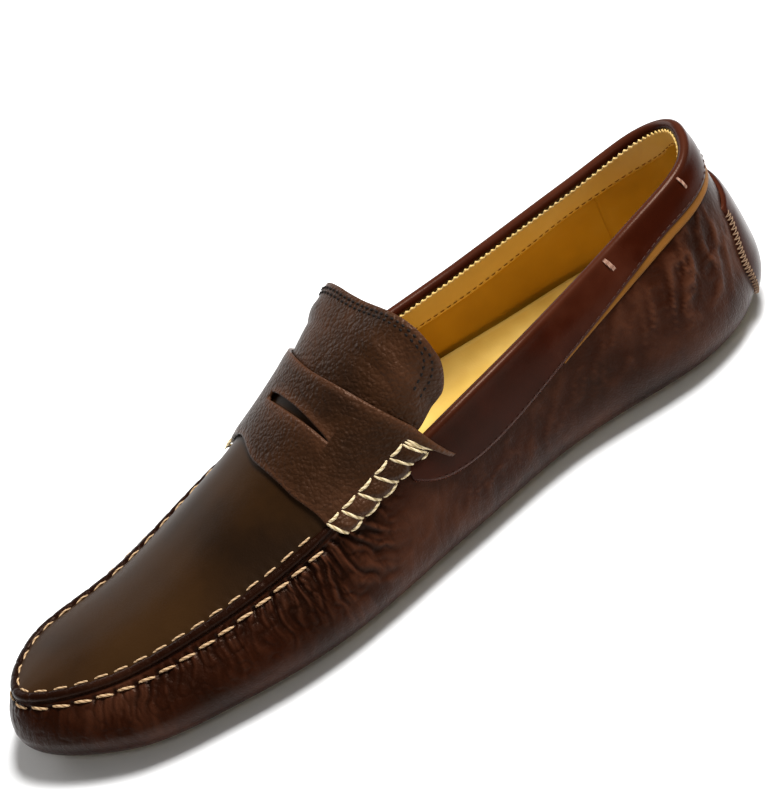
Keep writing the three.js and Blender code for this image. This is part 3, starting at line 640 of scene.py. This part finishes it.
def make_shell():
    """Side, bottom and the raised roll of the seam, in one sheet."""
    low_rows = 0.86  # the share of the rows that make the side, below the roll

    def place(s, r):
        u = np.interp(s, [0, 1 / 6, 5 / 6, 1], [0, THROAT, STATIONS - THROAT, STATIONS])
        a = from_heel(u)
        forepart = smooth(4.05, 4.3, a)
        edge = mix(3.0, 2.0, forepart)
        f = np.clip(r / low_rows, 0, 1)
        top = w_below(u, edge)
        w = top * (1 - (1 - f) ** 1.35)
        below = (1 - w) / (1 - BULGE_W) * side_height(u)
        fold, crest_highlight = gathers(u, below)
        fold = fold * smooth(0.2, 0.4, w)
        along = seam_length(u)
        gap = np.exp(-((np.minimum(stitch_phase(along), 1 - stitch_phase(along)) / 0.09) ** 2))
        row = wall_row_below(u)
        valley = -0.45 * np.exp(-((below - row) / 0.8) ** 2) * forepart
        hole = -0.5 * gap * np.exp(-((below - row) / 0.9) ** 2) * forepart
        out = fold + creases(u, w) + valley + hole
        wall = wall_at(u, w, out)
        angle = (np.clip((r - low_rows) / (1 - low_rows), 0, 1) * 1.2 - 0.1) * math.pi
        radius = mix(1.0, RIDGE_RADIUS, smooth(4.7, 4.95, a)) * (1 - 0.09 * gap)
        rolled = ridge(u, angle, radius)
        inner = wall_below(u, mix(3.0, 2.1, np.clip((r - low_rows) / (1 - low_rows), 0, 1)), 0)
        over = inner + (rolled - inner) * forepart[..., None]
        points = np.where((r > low_rows)[..., None], over, wall)
        # Painted highlights on the crests of the gathers and on the crease ridges; painted shade in the
        # folds, in the crease valleys and in the stitch holes.
        crease_light_and_shade = creases(u, w)
        painted_highlight = np.clip(0.7 * crest_highlight * (1 - gap) + 1.1 * crease_light_and_shade, 0, 1) * (r <= low_rows)
        stitch_hole_shade = gap * np.exp(-((below - row) / 1.2) ** 2)
        dark = np.clip(-1.2 * fold + stitch_hole_shade - 0.6 * crease_light_and_shade, 0, 1)
        # The rolled seam ridge is painted with shade along the forepart.
        return points, painted_highlight, np.where(r > low_rows, 0.75 * forepart, dark)

    bm = new_bmesh()
    columns, rows = 960, 66
    add_grid(bm, (columns, rows), place)
    low = [f for f in bm.faces if max(v.co.z for v in f.verts) < SOLE_EDGE * MM]
    sole_rows = round(len(low) / columns)
    for face in list(bm.faces)[:sole_rows * columns]:
        face.material_index = 1
    bmesh.ops.remove_doubles(bm, verts=bm.verts, dist=1e-6)
    ground = [e for e in bm.edges if e.is_boundary
              and max(v.co.z for v in e.verts) < (BOTTOM_Z + 0.5) * MM]
    filled = bmesh.ops.triangle_fill(bm, edges=ground, use_beauty=False, use_dissolve=False)
    for face in filled["geom"]:
        if isinstance(face, bmesh.types.BMFace):
            face.material_index = 1
    bmesh.ops.recalc_face_normals(bm, faces=bm.faces)
    facing(bm, lambda p: (0, 0, -1) if p.z < 4 * MM else (0, p.y, 0))
    shell = make_piece("shell", bm, SHELL, "upper", ["moccasin_wall"])
    shell.data.materials.append(SOLE_LEATHER)
    return shell


# ---- The plug --------------------------------------------------------------------------------
def strap_front(t):
    """The strap's front edge, in stations: it draws back towards both ends."""
    return 3.19 + 0.1 * smooth(-0.1, 0.5, -t) + 0.04 * smooth(0.6, 0.95, t)


def strap_back(t):
    return 3.762 + 0.15 * t**2 + 0.09 * t**8


def plug_dimples(k, t):
    """Short puckers that run in from the seam, in mm."""
    along = seam_length(TOE - np.sign(t) * k)
    near = smooth(0.8, 1.0, np.abs(t))
    return -0.22 * near * (1 - np.abs(np.sin(math.pi * along / (STITCH_PITCH / 2))))


def make_plug():
    def place(s, r):
        t = np.sin((r - 0.5) * math.pi)
        k = 0.03 + (strap_back(t) - 0.05) * s ** 1.15
        dimple = plug_dimples(k, t)
        slack = 0.25 * wobble(k * 20, t * 30, 14)
        # The puckers are painted with shade as deep as they sink.
        return plug_at(k, t, dimple + slack * (1 - np.abs(t) ** 3)), 0, -dimple

    make_sheet("plug_leather", (220, 120), place, out_of_shoe, PLUG, "plug",
               PLUG_LEATHER)


# ---- The strap -------------------------------------------------------------------------------
STRAP_SIDE = 0.965  # t where the strap's top turns down into its rolled ends
SLOT_AT = 3.547
SLOT_FROM = -0.36
SLOT_TO = 0.62
LACE_STATIONS = np.array([3.235, 3.345, 3.478, 3.607, 3.737, 3.863])
LACE_DROP = 4.9  # the ladder's lower rail, below the topline


def lace_station(side, k):
    """The wall station where the strap's end meets the shell."""
    return TOE - side * (k + mix(0.075, 0.14, (k - STRAP_FRONT) / 0.64))


def strap_end(side, k, f):
    """The strap's rolled end, from its top (f 0) over the seam and down to the shell (f 1)."""
    top = plug_at(k, side * STRAP_SIDE, STRAP_TOP)
    drop = LACE_DROP + 7.5 * smooth(3.868, 3.95, k)
    foot = wall_below(lace_station(side, k), drop, 0.5 + 1.2 * smooth(3.87, 3.95, k))
    _, out, up = seam_frame(TOE - side * k)
    nearest = np.min(np.abs(k[..., None] - LACE_STATIONS), axis=-1)
    puff = 3.0 - 1.6 * np.exp(-(nearest / 0.028) ** 2)
    arch_out = (unit(out + up) * (puff * np.sin(math.pi * np.clip(f, 0, 1)) ** 0.8)[..., None])
    return top + (foot - top) * f[..., None] + arch_out


def slot_opening(t):
    """Half the slot's width at t, in stations: blunt at the inner end, fine at the outer."""
    f = np.clip((t - SLOT_FROM) / (SLOT_TO - SLOT_FROM), 0, 1)
    return 0.029 * np.sqrt(np.clip(1 - f, 0, 1)) * (f > 0) * (0.8 + 0.35 * np.sin(math.pi * f))


def make_strap():
    """Two strips that meet at the slot, each with a rolled end on either side."""
    end_share = 0.14  # the share of the length in each rolled end

    def strip(front):
        def place(s, r):
            mid = np.clip((r - end_share) / (1 - 2 * end_share), 0, 1)
            t = mix(-STRAP_SIDE, STRAP_SIDE, mid)
            side = np.where(r < 0.5, -1.0, 1.0)
            t_bent = np.where((r < end_share) | (r > 1 - end_share), side * STRAP_SIDE, t)
            half = slot_opening(t_bent)
            start, stop = ((strap_front(t_bent), SLOT_AT) if front
                           else (SLOT_AT, strap_back(t_bent)))
            k = mix(start, stop, s)
            distance = (1 - s) if front else s
            k = k + half * (1 - distance) ** 3 * (-1 if front else 1)
            lip = 0.55 * np.exp(-(distance * 9 / 1.6) ** 2) * (half > 0)
            edge = np.exp(-((1 - distance) * 9 / 1.0) ** 2)
            slack = 0.12 * wobble(k * 24, t * 26, 9)
            out = STRAP_TOP + lip + 0.35 * (1 - edge) * (1 - lip) + slack
            body = plug_at(k, t_bent, out)
            f = np.clip(np.where(side > 0, (r - 1 + end_share), (end_share - r)) / end_share,
                        0, 1)
            ends = strap_end(side, k, f)
            lap = smooth(0, 0.25, f)[..., None]
            points = body + (ends - body) * np.where(f[..., None] > 0, lap, 0)
            # Painted highlight along the slot's raised lip, and lighter cut edges at the strap's front and
            # back.
            return points, np.clip(0.85 * lip + 0.5 * edge, 0, 1), 0
        return place

    bm = new_bmesh()
    add_grid(bm, (22, 260), strip(True))
    add_grid(bm, (22, 260), strip(False))
    bmesh.ops.remove_doubles(bm, verts=bm.verts, dist=2e-5)
    bmesh.ops.recalc_face_normals(bm, faces=bm.faces)
    facing(bm, out_of_shoe)
    thicken(make_piece("strap", bm, PEBBLED, "upper", ["penny_strap"]),
            STRAP_LEATHER)


# ---- The tongue ------------------------------------------------------------------------------
TONGUE_END = 4.70
TONGUE_SLANT = 0.25
TONGUE_SIDE = 0.985
TONGUE_CORNER = 0.89
TONGUE_ROUND = 0.34
HINGE_START = (154.0, 0.0, 69.0)
HINGE_END = (141.0, 0.0, 72.0)


def tongue_end(t):
    reach = TONGUE_END + TONGUE_SLANT * smooth(-0.3, 0.8, t)
    f = np.clip((np.abs(t) - TONGUE_CORNER) / (TONGUE_SIDE - TONGUE_CORNER), 0, 1)
    return reach - TONGUE_ROUND * (1 - np.sqrt(1 - f * f))


def tongue_lift(k):
    """The free end stands off the foot a little, in mm."""
    return 0.9 * smooth(4.4, 4.9, k)


def tongue_place(inset, out):
    """The tongue's sheet, inset mm inside its outline."""
    def place(s, r):
        t = np.sin((r - 0.5) * math.pi) * (TONGUE_SIDE - inset / 40)
        start = strap_back(t) - 0.06 + inset * 0.03
        end = tongue_end(t) - inset / 18
        k = mix(start, end, s)
        rim = np.exp(-((1 - s) * (end - start) * 18 / 1.1) ** 2)
        lift = out - 0.35 * rim + 0.2 * wobble(k * 20, t * 30, 16) + tongue_lift(k)
        return plug_at(k, t, lift), 0.5 * rim, 0
    return place


def make_tongue():
    start, end = to_frame(HINGE_START), to_frame(HINGE_END)
    for name, node_name, inset, out, thickness, material, slot in (
            ("tongue_leather", "tongue", 0.0, 0.0, TONGUE_LEATHER, PEBBLED,
             "pebbled_leather"),
            ("tongue_backing", "tongue_lining", 1.0, -TONGUE_LEATHER - 0.1, LINING_LEATHER,
             LINING, "lining_leather")):
        piece = make_sheet(name, (70, 150), tongue_place(inset, out), out_of_shoe, material,
                           node_name, thickness, body=None)
        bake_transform(piece, "upper", "tongue", start=tuple(start), end=tuple(end))


# ---- The collar ------------------------------------------------------------------------------
BAND_RADIUS = 2.1
BAND_SPAN = 4.2
SKIVED = 0.5  # leather shaved thin, in mm
BAND_INNER_LEG = 3.0
BAND_STATIONS = [0, 0.9, 1.96, 2.53, 2.81, 3.06, 3.33, 3.6, 3.82, 4.0, 4.12, 4.22]
BAND_EDGE = [0.80, 0.826, 0.842, 0.76, 0.69, 0.635, 0.59, 0.578, 0.596, 0.645, 0.72, 0.84]


def band_edge(u):
    """w of the band's lower edge."""
    a = np.abs(u)
    reach = mix(0.3, 0.06, smooth(3.3, 3.95, a))
    near = [np.interp(a + d * reach, BAND_STATIONS, BAND_EDGE) for d in np.linspace(-1, 1, 9)]
    return sum(near) / len(near)


def band_drop(u):
    return (1 - band_edge(u)) / (1 - BULGE_W) * side_height(u)


def band_size(u):
    """The rolled edge thins out where it runs in under the strap."""
    return mix(1.0, 0.3, smooth(3.98, 4.18, np.abs(u)))


def band_face(u, r):
    """Across the binding: up its outer leg, over the roll and down inside."""
    radius = BAND_RADIUS * band_size(u)
    middle = -WALL_LEATHER / 2
    outer, over = 0.5, 0.35
    f = np.clip(r / outer, 0, 1)
    turned = 1 - np.exp(-(f * band_drop(u) / 0.7) ** 2)
    out = mix(0.25, BAND_LEATHER + GAP, turned) + 0.35 * np.sin(math.pi * f) ** 2
    leg = wall_below(u, mix(band_drop(u), radius, f), mix(out, middle + radius, smooth(0.8, 1, f)))
    angle = np.clip((r - outer) / over, 0, 1) * math.pi
    roll = wall_below(u, radius - radius * np.sin(angle), middle + radius * np.cos(angle))
    down = np.clip((r - outer - over) / (1 - outer - over), 0, 1) * BAND_INNER_LEG
    inner = wall_below(u, radius + down, middle - radius)
    points = np.where((r < outer)[..., None], leg,
                      np.where((r < outer + over)[..., None], roll, inner))
    # A painted highlight along the crest of the roll, and a lighter lower cut edge.
    worn_and_lit = 0.45 * np.exp(-((r - 0.62) / 0.1) ** 2) + 0.35 * (f < 0.06)
    return points, worn_and_lit, 0


def make_band():
    """The polished binding, all round the topline."""
    make_sheet("collar_binding", (420, 48),
               lambda s, r: band_face(mix(-BAND_SPAN, BAND_SPAN, s), r), out_of_shoe,
               COLLAR, "collar_band", SKIVED)


def make_accent():
    """The tan strip that shows below the binding round the heel."""
    span = 2.86

    def place(s, r):
        u = mix(-span, span, s)
        show = 2.2 * (1 - smooth(1.7, span, np.abs(u))) + 0.25
        below = band_drop(u) - 1.2 + r * (show + 1.2)
        swell = 0.62 + 0.25 * np.sin(math.pi * r)
        # Painted shade where the strip runs in under the binding; lighter towards its lower edge.
        return wall_below(u, below, swell * smooth(1.02, 0.88, r)), 0.4 * r, 0.5 * (r < 0.35)

    make_sheet("accent_strip", (300, 8), place, out_of_shoe, ACCENT,
               "collar_accent", SKIVED)


# ---- The linings -----------------------------------------------------------------------------
PINK_PITCH = 2.2
PINK_DEPTH = 1.1
STRIP_BOTTOM = 15.5
HEEL_LINING_SPAN = 1.8
LINING_SHEET = 0.6


def inside(u, below, out):
    """The inner face, which follows the binding's roll near the top."""
    centre = -WALL_LEATHER / 2
    reach = centre - out
    drop = np.maximum(BAND_RADIUS - below, 0)
    bend = centre - np.sqrt(np.maximum(reach ** 2 - drop ** 2, 0.01))
    return wall_below(u, below, np.where(below < BAND_RADIUS, bend, out))


def strip_bottom(u):
    """How far below the topline the lining strip ends: it is shallow at the heel."""
    return mix(STRIP_BOTTOM, 9, np.exp(-(u / 0.6) ** 2))


def make_lining_strip():
    def place(s, r):
        u = mix(-4.1, 4.1, s)
        teeth = np.abs(np.mod(seam_length(u) / PINK_PITCH, 1) - 0.5) * 2
        below = mix(strip_bottom(u), 1.5, r) + PINK_DEPTH * teeth * smooth(0.85, 1, r)
        swell = -3.55 - 0.2 * np.sin(math.pi * r)
        # Painted shade along the strip's lower edge, where it lies on the lining; lighter pinked teeth.
        return inside(u, below, swell), 0.1 * smooth(0.86, 0.97, r), 0.5 * (r < 0.03)

    make_sheet("lining_strip", (1200, 10), place, into_shoe, STRIP,
               "collar_lining", LINING_SHEET)


def make_linings():
    lap = 0.2  # how far the side linings reach in under the heel's
    for name, node_name, start, stop, out in (
            ("lining_outer", "quarter_lining_lateral", HEEL_LINING_SPAN - lap, 4.2, -3.0),
            ("lining_inner", "quarter_lining_medial", -4.2, -HEEL_LINING_SPAN + lap, -3.0),
            ("lining_heel", "heel_lining", -HEEL_LINING_SPAN, HEEL_LINING_SPAN, -3.4)):
        def place(s, r, start=start, stop=stop, out=out):
            u = mix(start, stop, s)
            top = w_below(u, 7.0)
            w = mix(0.16, top, r)
            slack = 0.5 * wobble(u * 20, w * 40, 9)
            edge = np.exp(-(np.minimum(s, 1 - s) * 90) ** 2)
            # Painted shade along the heel lining's two edges, where it lies over the side linings.
            return wall_at(u, w, out + slack), 0, 0.5 * edge * (out < -3.2)

        make_sheet(name, (90, 30), place, into_shoe, LINING, node_name,
                   LINING_SHEET)


def make_sock():
    """The footbed cover, cupped up against the lining all round."""
    def place(s, r):
        u = s * STATIONS
        rise = 3.0 + 5.0 * np.exp(-((u - 12.5) / 1.4) ** 2) - 1.0 * smooth(5, 8, from_heel(u))
        edge = loop(BULGE, u) - outward(u) * (4.6 + 4.0 * np.exp(-rise / 4))[..., None]
        spine = edge.copy()
        spine[..., 0] = np.clip(edge[..., 0], 38, 250)
        spine[..., 1] = -2 - 4 * smooth(150, 290, spine[..., 0])
        points = spine + (edge - spine) * r[..., None]
        points[..., 2] = SOCK_Z + SOCK_LEATHER + rise * r ** 7 + 0.15 * wobble(u * 20, r * 20, 12)
        # Painted shade round the rim, where the sock meets the lining.
        return points, 0, 0.4 * smooth(0.985, 1.0, r)

    bm = new_bmesh()
    add_grid(bm, (200, 36), place)
    bmesh.ops.remove_doubles(bm, verts=bm.verts, dist=1e-5)
    bmesh.ops.recalc_face_normals(bm, faces=bm.faces)
    facing(bm, lambda p: (0, 0, 1))
    thicken(make_piece("sock_cover", bm, SOCK, "upper", ["sock"]), 1.0)


# ---- The heel patch --------------------------------------------------------------------------
PATCH_LOW = 0.15
PATCH_HIGH = 0.66


def patch_span(r):
    """Half the patch's width at a height, in stations."""
    return 0.86 + 0.24 * np.sin(math.pi * np.clip(r * 1.1 + 0.05, 0, 1))


def make_heel_patch():
    def place(s, r):
        across = 2 * s - 1
        dome = (1 - across ** 6) * (1 - (2 * r - 1) ** 6)
        rim = np.minimum(dome * 8, 1)
        out = 0.15 + 0.9 * rim + 1.7 * dome + 0.15 * wobble(across * 30, r * 30, 8)
        u = across * patch_span(r)
        return wall_at(u, mix(PATCH_LOW, PATCH_HIGH, r), out), 0.5 * (1 - rim), 0

    patch = make_sheet("heel_cushion", (70, 44), place, lambda p: (p.x + 0.1, 0, 0), COLLAR,
                       "heel_patch", 0.8)


# ---- Thread ----------------------------------------------------------------------------------
def strand(bm, start, middle, end, out, radius, flat=0.8):
    """One visible run of thread: a rounded bar that arches from start to end."""
    made = bmesh.ops.create_uvsphere(bm, u_segments=8, v_segments=7, radius=1,
                                     calc_uvs=True)["verts"]
    ball = np.array([v.co for v in made])
    f = (ball[:, 2:3] + 1) / 2
    spine = start * (1 - f) ** 2 + middle * 2 * f * (1 - f) + end * f**2
    side = unit(np.cross(end - start, out))
    round_off = np.maximum(1 - ball[:, 2] ** 2, 1e-6) ** -0.22
    across = side * (ball[:, 0] * round_off * radius)[:, None]
    high = unit(out) * (ball[:, 1] * round_off * radius * flat)[:, None]
    settle(bm, made, spine + across + high)


def add_stitch(bm, place, start, stop, radius, arch_out, sink=0.25):
    """A stitch on a surface: place(position, lift) gives a point on it."""
    middle = (start + stop) / 2
    top = place(middle, arch_out)
    base = place(middle, 0.0)
    a = place(start, -sink)
    b = place(stop, -sink)
    control = 2 * top - (a + b) / 2
    strand(bm, a, control, b, top - base, radius)


def row_of_stitches(name, place, first, last, pitch, length, radius, material,
                    arch_out=0.35, body="upper", sink=0.25):
    """A running row along place(position, lift), position in mm."""
    bm = new_bmesh()
    for n in range(int((last - first) / pitch)):
        start = first + n * pitch
        add_stitch(bm, place, start, start + length, radius, arch_out, sink)
    bmesh.ops.recalc_face_normals(bm, faces=bm.faces)
    return make_piece(name, bm, material, body)


def plug_samples():
    k, t = np.meshgrid(np.linspace(0.03, 3.4, 420), np.linspace(-1, 1, 260))
    return plug_point(k, t).reshape(-1, 3), plug_normal(k, t).reshape(-1, 3)


PLUG_POINTS, PLUG_NORMALS = plug_samples()


def on_plug(x, y, lift):
    """The plug's surface point over a place, lifted along its normal."""
    n = np.argmin((PLUG_POINTS[:, 0] - x) ** 2 + (PLUG_POINTS[:, 1] - y) ** 2)
    return PLUG_POINTS[n] + PLUG_NORMALS[n] * lift


def seam_stitches():
    """The cream thread that shows on both sides of the plug seam."""
    first = math.ceil(seam_length(SEAM_FROM) / STITCH_PITCH) * STITCH_PITCH
    last = seam_length(STATIONS - SEAM_FROM)
    half_gap = (STITCH_PITCH - STITCH_LENGTH) / 2

    def on_wall(position, lift):
        u = station_at(position)
        phase = stitch_phase(position)
        return wall_below(u, wall_row_below(u) + 0.35 - 0.7 * phase, lift - 0.1)

    def beside_seam(position, lift):
        point, out, _ = seam_frame(station_at(position))
        inward = point - out * 2.2
        return on_plug(inward[0], inward[1], lift)

    row_of_stitches("seam_stitches_outside", on_wall, first + half_gap, last, STITCH_PITCH,
                    STITCH_LENGTH, 0.5, SEAM_THREAD, 0.4, sink=0.5)
    row_of_stitches("seam_stitches_inside", beside_seam, first + half_gap, last,
                    STITCH_PITCH, STITCH_LENGTH, 0.42, SEAM_THREAD, 0.3, sink=0.5)


def strap_ladder(side, name, node_name):
    """The hand lacing over the strap's end: two rails and a rung at every hole."""
    bm = new_bmesh()

    def at(k, f, lift):
        k, f = np.array([float(k)]), np.array([float(f)])
        _, out, up = seam_frame(TOE - side * k)
        return (strap_end(side, k, f) + unit(out + up) * lift)[0]

    for n, k in enumerate(LACE_STATIONS):
        strands = 3 if n == len(LACE_STATIONS) - 1 else 1
        for turn in range(strands):
            spread = k + (turn - (strands - 1) / 2) * 0.026
            slant = 0.008 * (turn - 1) if strands > 1 else 0.0
            out = at(spread, 0.5, 1.0) - at(spread, 0.5, 0.0)
            strand(bm, at(spread - slant, 0.0, 0.1), at(spread, 0.5, 1.3),
                   at(spread + slant, 1.0, 0.1), out, 0.68)
        if n == 0:
            continue
        before = LACE_STATIONS[n - 1]
        for f in (0.02, 0.98):
            out = at(k, f, 1.0) - at(k, f, 0.0)
            strand(bm, at(before + 0.012, f, 0.0), at((before + k) / 2, f, 1.2),
                   at(k - 0.012, f, 0.0), out, 0.66)
    bmesh.ops.recalc_face_normals(bm, faces=bm.faces)
    make_piece(name, bm, THREAD, "upper", [node_name])


def tongue_rows():
    """Two rows of fine stitches round the tongue's free edge."""
    edge_t = np.sin(np.linspace(-0.5, 0.5, 400) * math.pi) * TONGUE_SIDE
    side_k = np.linspace(4.1, tongue_end(TONGUE_SIDE), 60)[:-1]
    edge_k = np.concatenate([side_k, tongue_end(edge_t), side_k[::-1]])
    edge_t = np.concatenate([edge_t[:1].repeat(59), edge_t, edge_t[-1:].repeat(59)])

    for number, inset in enumerate((1.8, 3.3)):
        t_line = edge_t * (1 - inset / 32)
        k_line = edge_k - inset / 17 * smooth(4.1, 4.6, edge_k)
        line = plug_point(k_line, t_line)
        lengths = np.concatenate([[0], np.cumsum(np.linalg.norm(np.diff(line, axis=0),
                                                                axis=1))])

        def place(position, lift, t_line=t_line, k_line=k_line, lengths=lengths):
            t = np.interp(position, lengths, t_line)
            k = np.interp(position, lengths, k_line)
            return plug_at(k, t, lift + tongue_lift(k) - 0.05)

        row_of_stitches(f"tongue_stitches_{number + 1}", place, 1.0 + number, lengths[-1] - 1,
                        2.5, 1.6, 0.46, DARK_THREAD, 0.1, body="tongue", sink=0.15)


def band_stitches():
    """Fine stitching along the binding's lower edge."""
    def place(position, lift):
        u = station_at(position)
        return wall_below(u, band_drop(u) - 1.5, BAND_LEATHER + GAP + 0.1 + lift)

    end = seam_length(4.12)
    row_of_stitches("binding_stitches", place, -end, end, 2.6, 1.9, 0.17, BROWN_THREAD,
                    0.12, sink=0.15)


def lining_stitches():
    def place(position, lift):
        u = station_at(position)
        return inside(u, strip_bottom(u) - 1.4, -3.7 - lift)

    end = seam_length(4.0)
    row_of_stitches("lining_stitches", place, -end, end, 2.6, 1.8, 0.2, TAN_THREAD,
                    0.12, sink=0.15)


def patch_stitches():
    """Zig-zag stitching over both side edges of the heel patch."""
    bm = new_bmesh()
    for side in (1, -1):
        for n in range(22):
            r = 0.06 + 0.88 * n / 22
            for step, (near, far) in enumerate(((-1.3, 1.1), (1.1, -1.3))):
                ends = []
                for share, shift in ((0, near), (1, far)):
                    level = r + (step + share) * 0.02
                    u = side * (patch_span(level) + shift / 27)
                    ends.append((u, mix(PATCH_LOW, PATCH_HIGH, level)))
                lifts = [1.55 if abs(u) < patch_span(r) else 0.2 for u, _ in ends]
                a, b = (wall_at(u, w, lift) for (u, w), lift in zip(ends, lifts))
                middle = wall_at((ends[0][0] + ends[1][0]) / 2, ends[0][1], 1.9)
                out = wall_normal(ends[0][0], ends[0][1])
                strand(bm, a, middle, b, out, 0.21)
    bmesh.ops.recalc_face_normals(bm, faces=bm.faces)
    make_piece("heel_cushion_stitches", bm, STONE_THREAD, "upper")


def sole_stitches():
    """The stitching that holds the rubber pads, round the edge of the leather bottom."""
    lengths = np.concatenate([[0], np.cumsum(np.linalg.norm(
        np.diff(loop(BULGE, FINE_STATIONS[960:1921]), axis=0), axis=1))])
    stations = FINE_STATIONS[960:1921]

    def place(position, lift):
        u = np.interp(position, lengths, stations)
        point = loop(BULGE, u) - outward(u) * (FEATHER - 1.0)
        point[..., 2] = BOTTOM_Z - 0.05 - lift
        return point

    row_of_stitches("sole_stitches", place, 0, lengths[-1], 3.4, 2.4, 0.3, PALE_THREAD,
                    0.15, sink=0.2)


def make_tacks():
    for name, u in (("lateral_front", 2.28), ("lateral_rear", 1.23), ("medial_front", -2.28),
                    ("medial_rear", -1.23)):
        bm = new_bmesh()
        for turn in range(3):
            shift = (turn - 1) * 0.009
            a, middle, b = (wall_below(u + shift + lean, below, lift) for below, lift, lean in
                            ((1.9, 1.2, 0.01), (4.4, 2.6, 0), (7.0, 1.3, -0.01)))
            strand(bm, a, middle, b, wall_normal(u, 0.9), 0.32)
        bmesh.ops.recalc_face_normals(bm, faces=bm.faces)
        make_piece(f"tack_{name}", bm, TACK, "upper", [f"bartack_{name}"])


# ---- Putting the shoe together ---------------------------------------------------------------
def dress(node_name, material):
    """Gives a CAD node that stays its material."""
    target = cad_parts[node_name]
    target.data.materials.clear()
    target.data.materials.append(material)


make_shell()
make_plug()
make_strap()
make_tongue()
make_band()
make_accent()
make_lining_strip()
make_linings()
make_sock()
make_heel_patch()
seam_stitches()
strap_ladder(1, "ladder_outer", "strap_lacing_lateral")
strap_ladder(-1, "ladder_inner", "strap_lacing_medial")
tongue_rows()
band_stitches()
lining_stitches()
patch_stitches()
sole_stitches()
make_tacks()
for kept, finish in (("plug_lining", CANVAS), ("forepart_lining", CANVAS),
                     ("heel_counter", BOARD), ("insole_board", BOARD), ("insole_foam", FOAM),
                     ("toe_pad", RUBBER), ("ball_pad", RUBBER), ("waist_pad", RUBBER),
                     ("heel_pad", RUBBER)):
    dress(kept, finish)


# ---- Light, floor, camera --------------------------------------------------------------------
def area_light(name, place, target, size, power, tint="#FFFFFF"):
    light = bpy.data.lights.new(name, "AREA")
    light.shape = "RECTANGLE"
    light.size, light.size_y = size
    light.energy = power
    light.color = colour(tint)[:3]
    lamp = bpy.data.objects.new(name, light)
    lamp.location = place
    lamp.rotation_euler = (Vector(target) - Vector(place)).to_track_quat("-Z", "Y").to_euler()
    scene.collection.objects.link(lamp)


def studio():
    world = bpy.data.worlds.new("studio")
    world.use_nodes = True
    world.node_tree.nodes["Background"].inputs[0].default_value = colour("#F6F3EE")
    world.node_tree.nodes["Background"].inputs[1].default_value = 0.27
    scene.world = world
    scene.view_settings.view_transform = "Standard"
    centre = (0, 0, 0.03)
    area_light("key", (-0.5, 0.1, 1.3), centre, (0.6, 0.45), 38)
    area_light("rim", (0.3, -1.3, 0.55), centre, (1.0, 0.35), 3)
    area_light("side", (0.5, 1.4, 1.6), centre, (0.3, 0.3), 3)
    bm = bmesh.new()
    bmesh.ops.create_grid(bm, x_segments=1, y_segments=1, size=6)
    mesh = bpy.data.meshes.new("floor")
    bm.to_mesh(mesh)
    bm.free()
    material, tree = new_material("painted_floor_pale")
    finish_material(tree, **{"Base Color": colour("#F2F2F2"), "Roughness": 0.7})
    mesh.materials.append(material)
    floor = bpy.data.objects.new("floor", mesh)
    scene.collection.objects.link(floor)


def camera():
    right = Vector((-0.8030, 0.4586, -0.3805))
    down = Vector((0.5743, 0.4251, -0.6997))
    ahead = Vector((-0.1591, -0.7804, -0.6047))
    lens = bpy.data.cameras.new("camera")
    lens.sensor_width = 36
    lens.lens = 264
    lens.clip_end = 20
    made = bpy.data.objects.new("camera", lens)
    place = to_frame(np.array([443.6, 1519.6, 1220.0]))
    turn = Matrix((right, -down, -ahead)).transposed()
    made.matrix_world = Matrix.Translation(Vector(place)) @ turn.to_4x4()
    scene.collection.objects.link(made)
    scene.camera = made


studio()
camera()
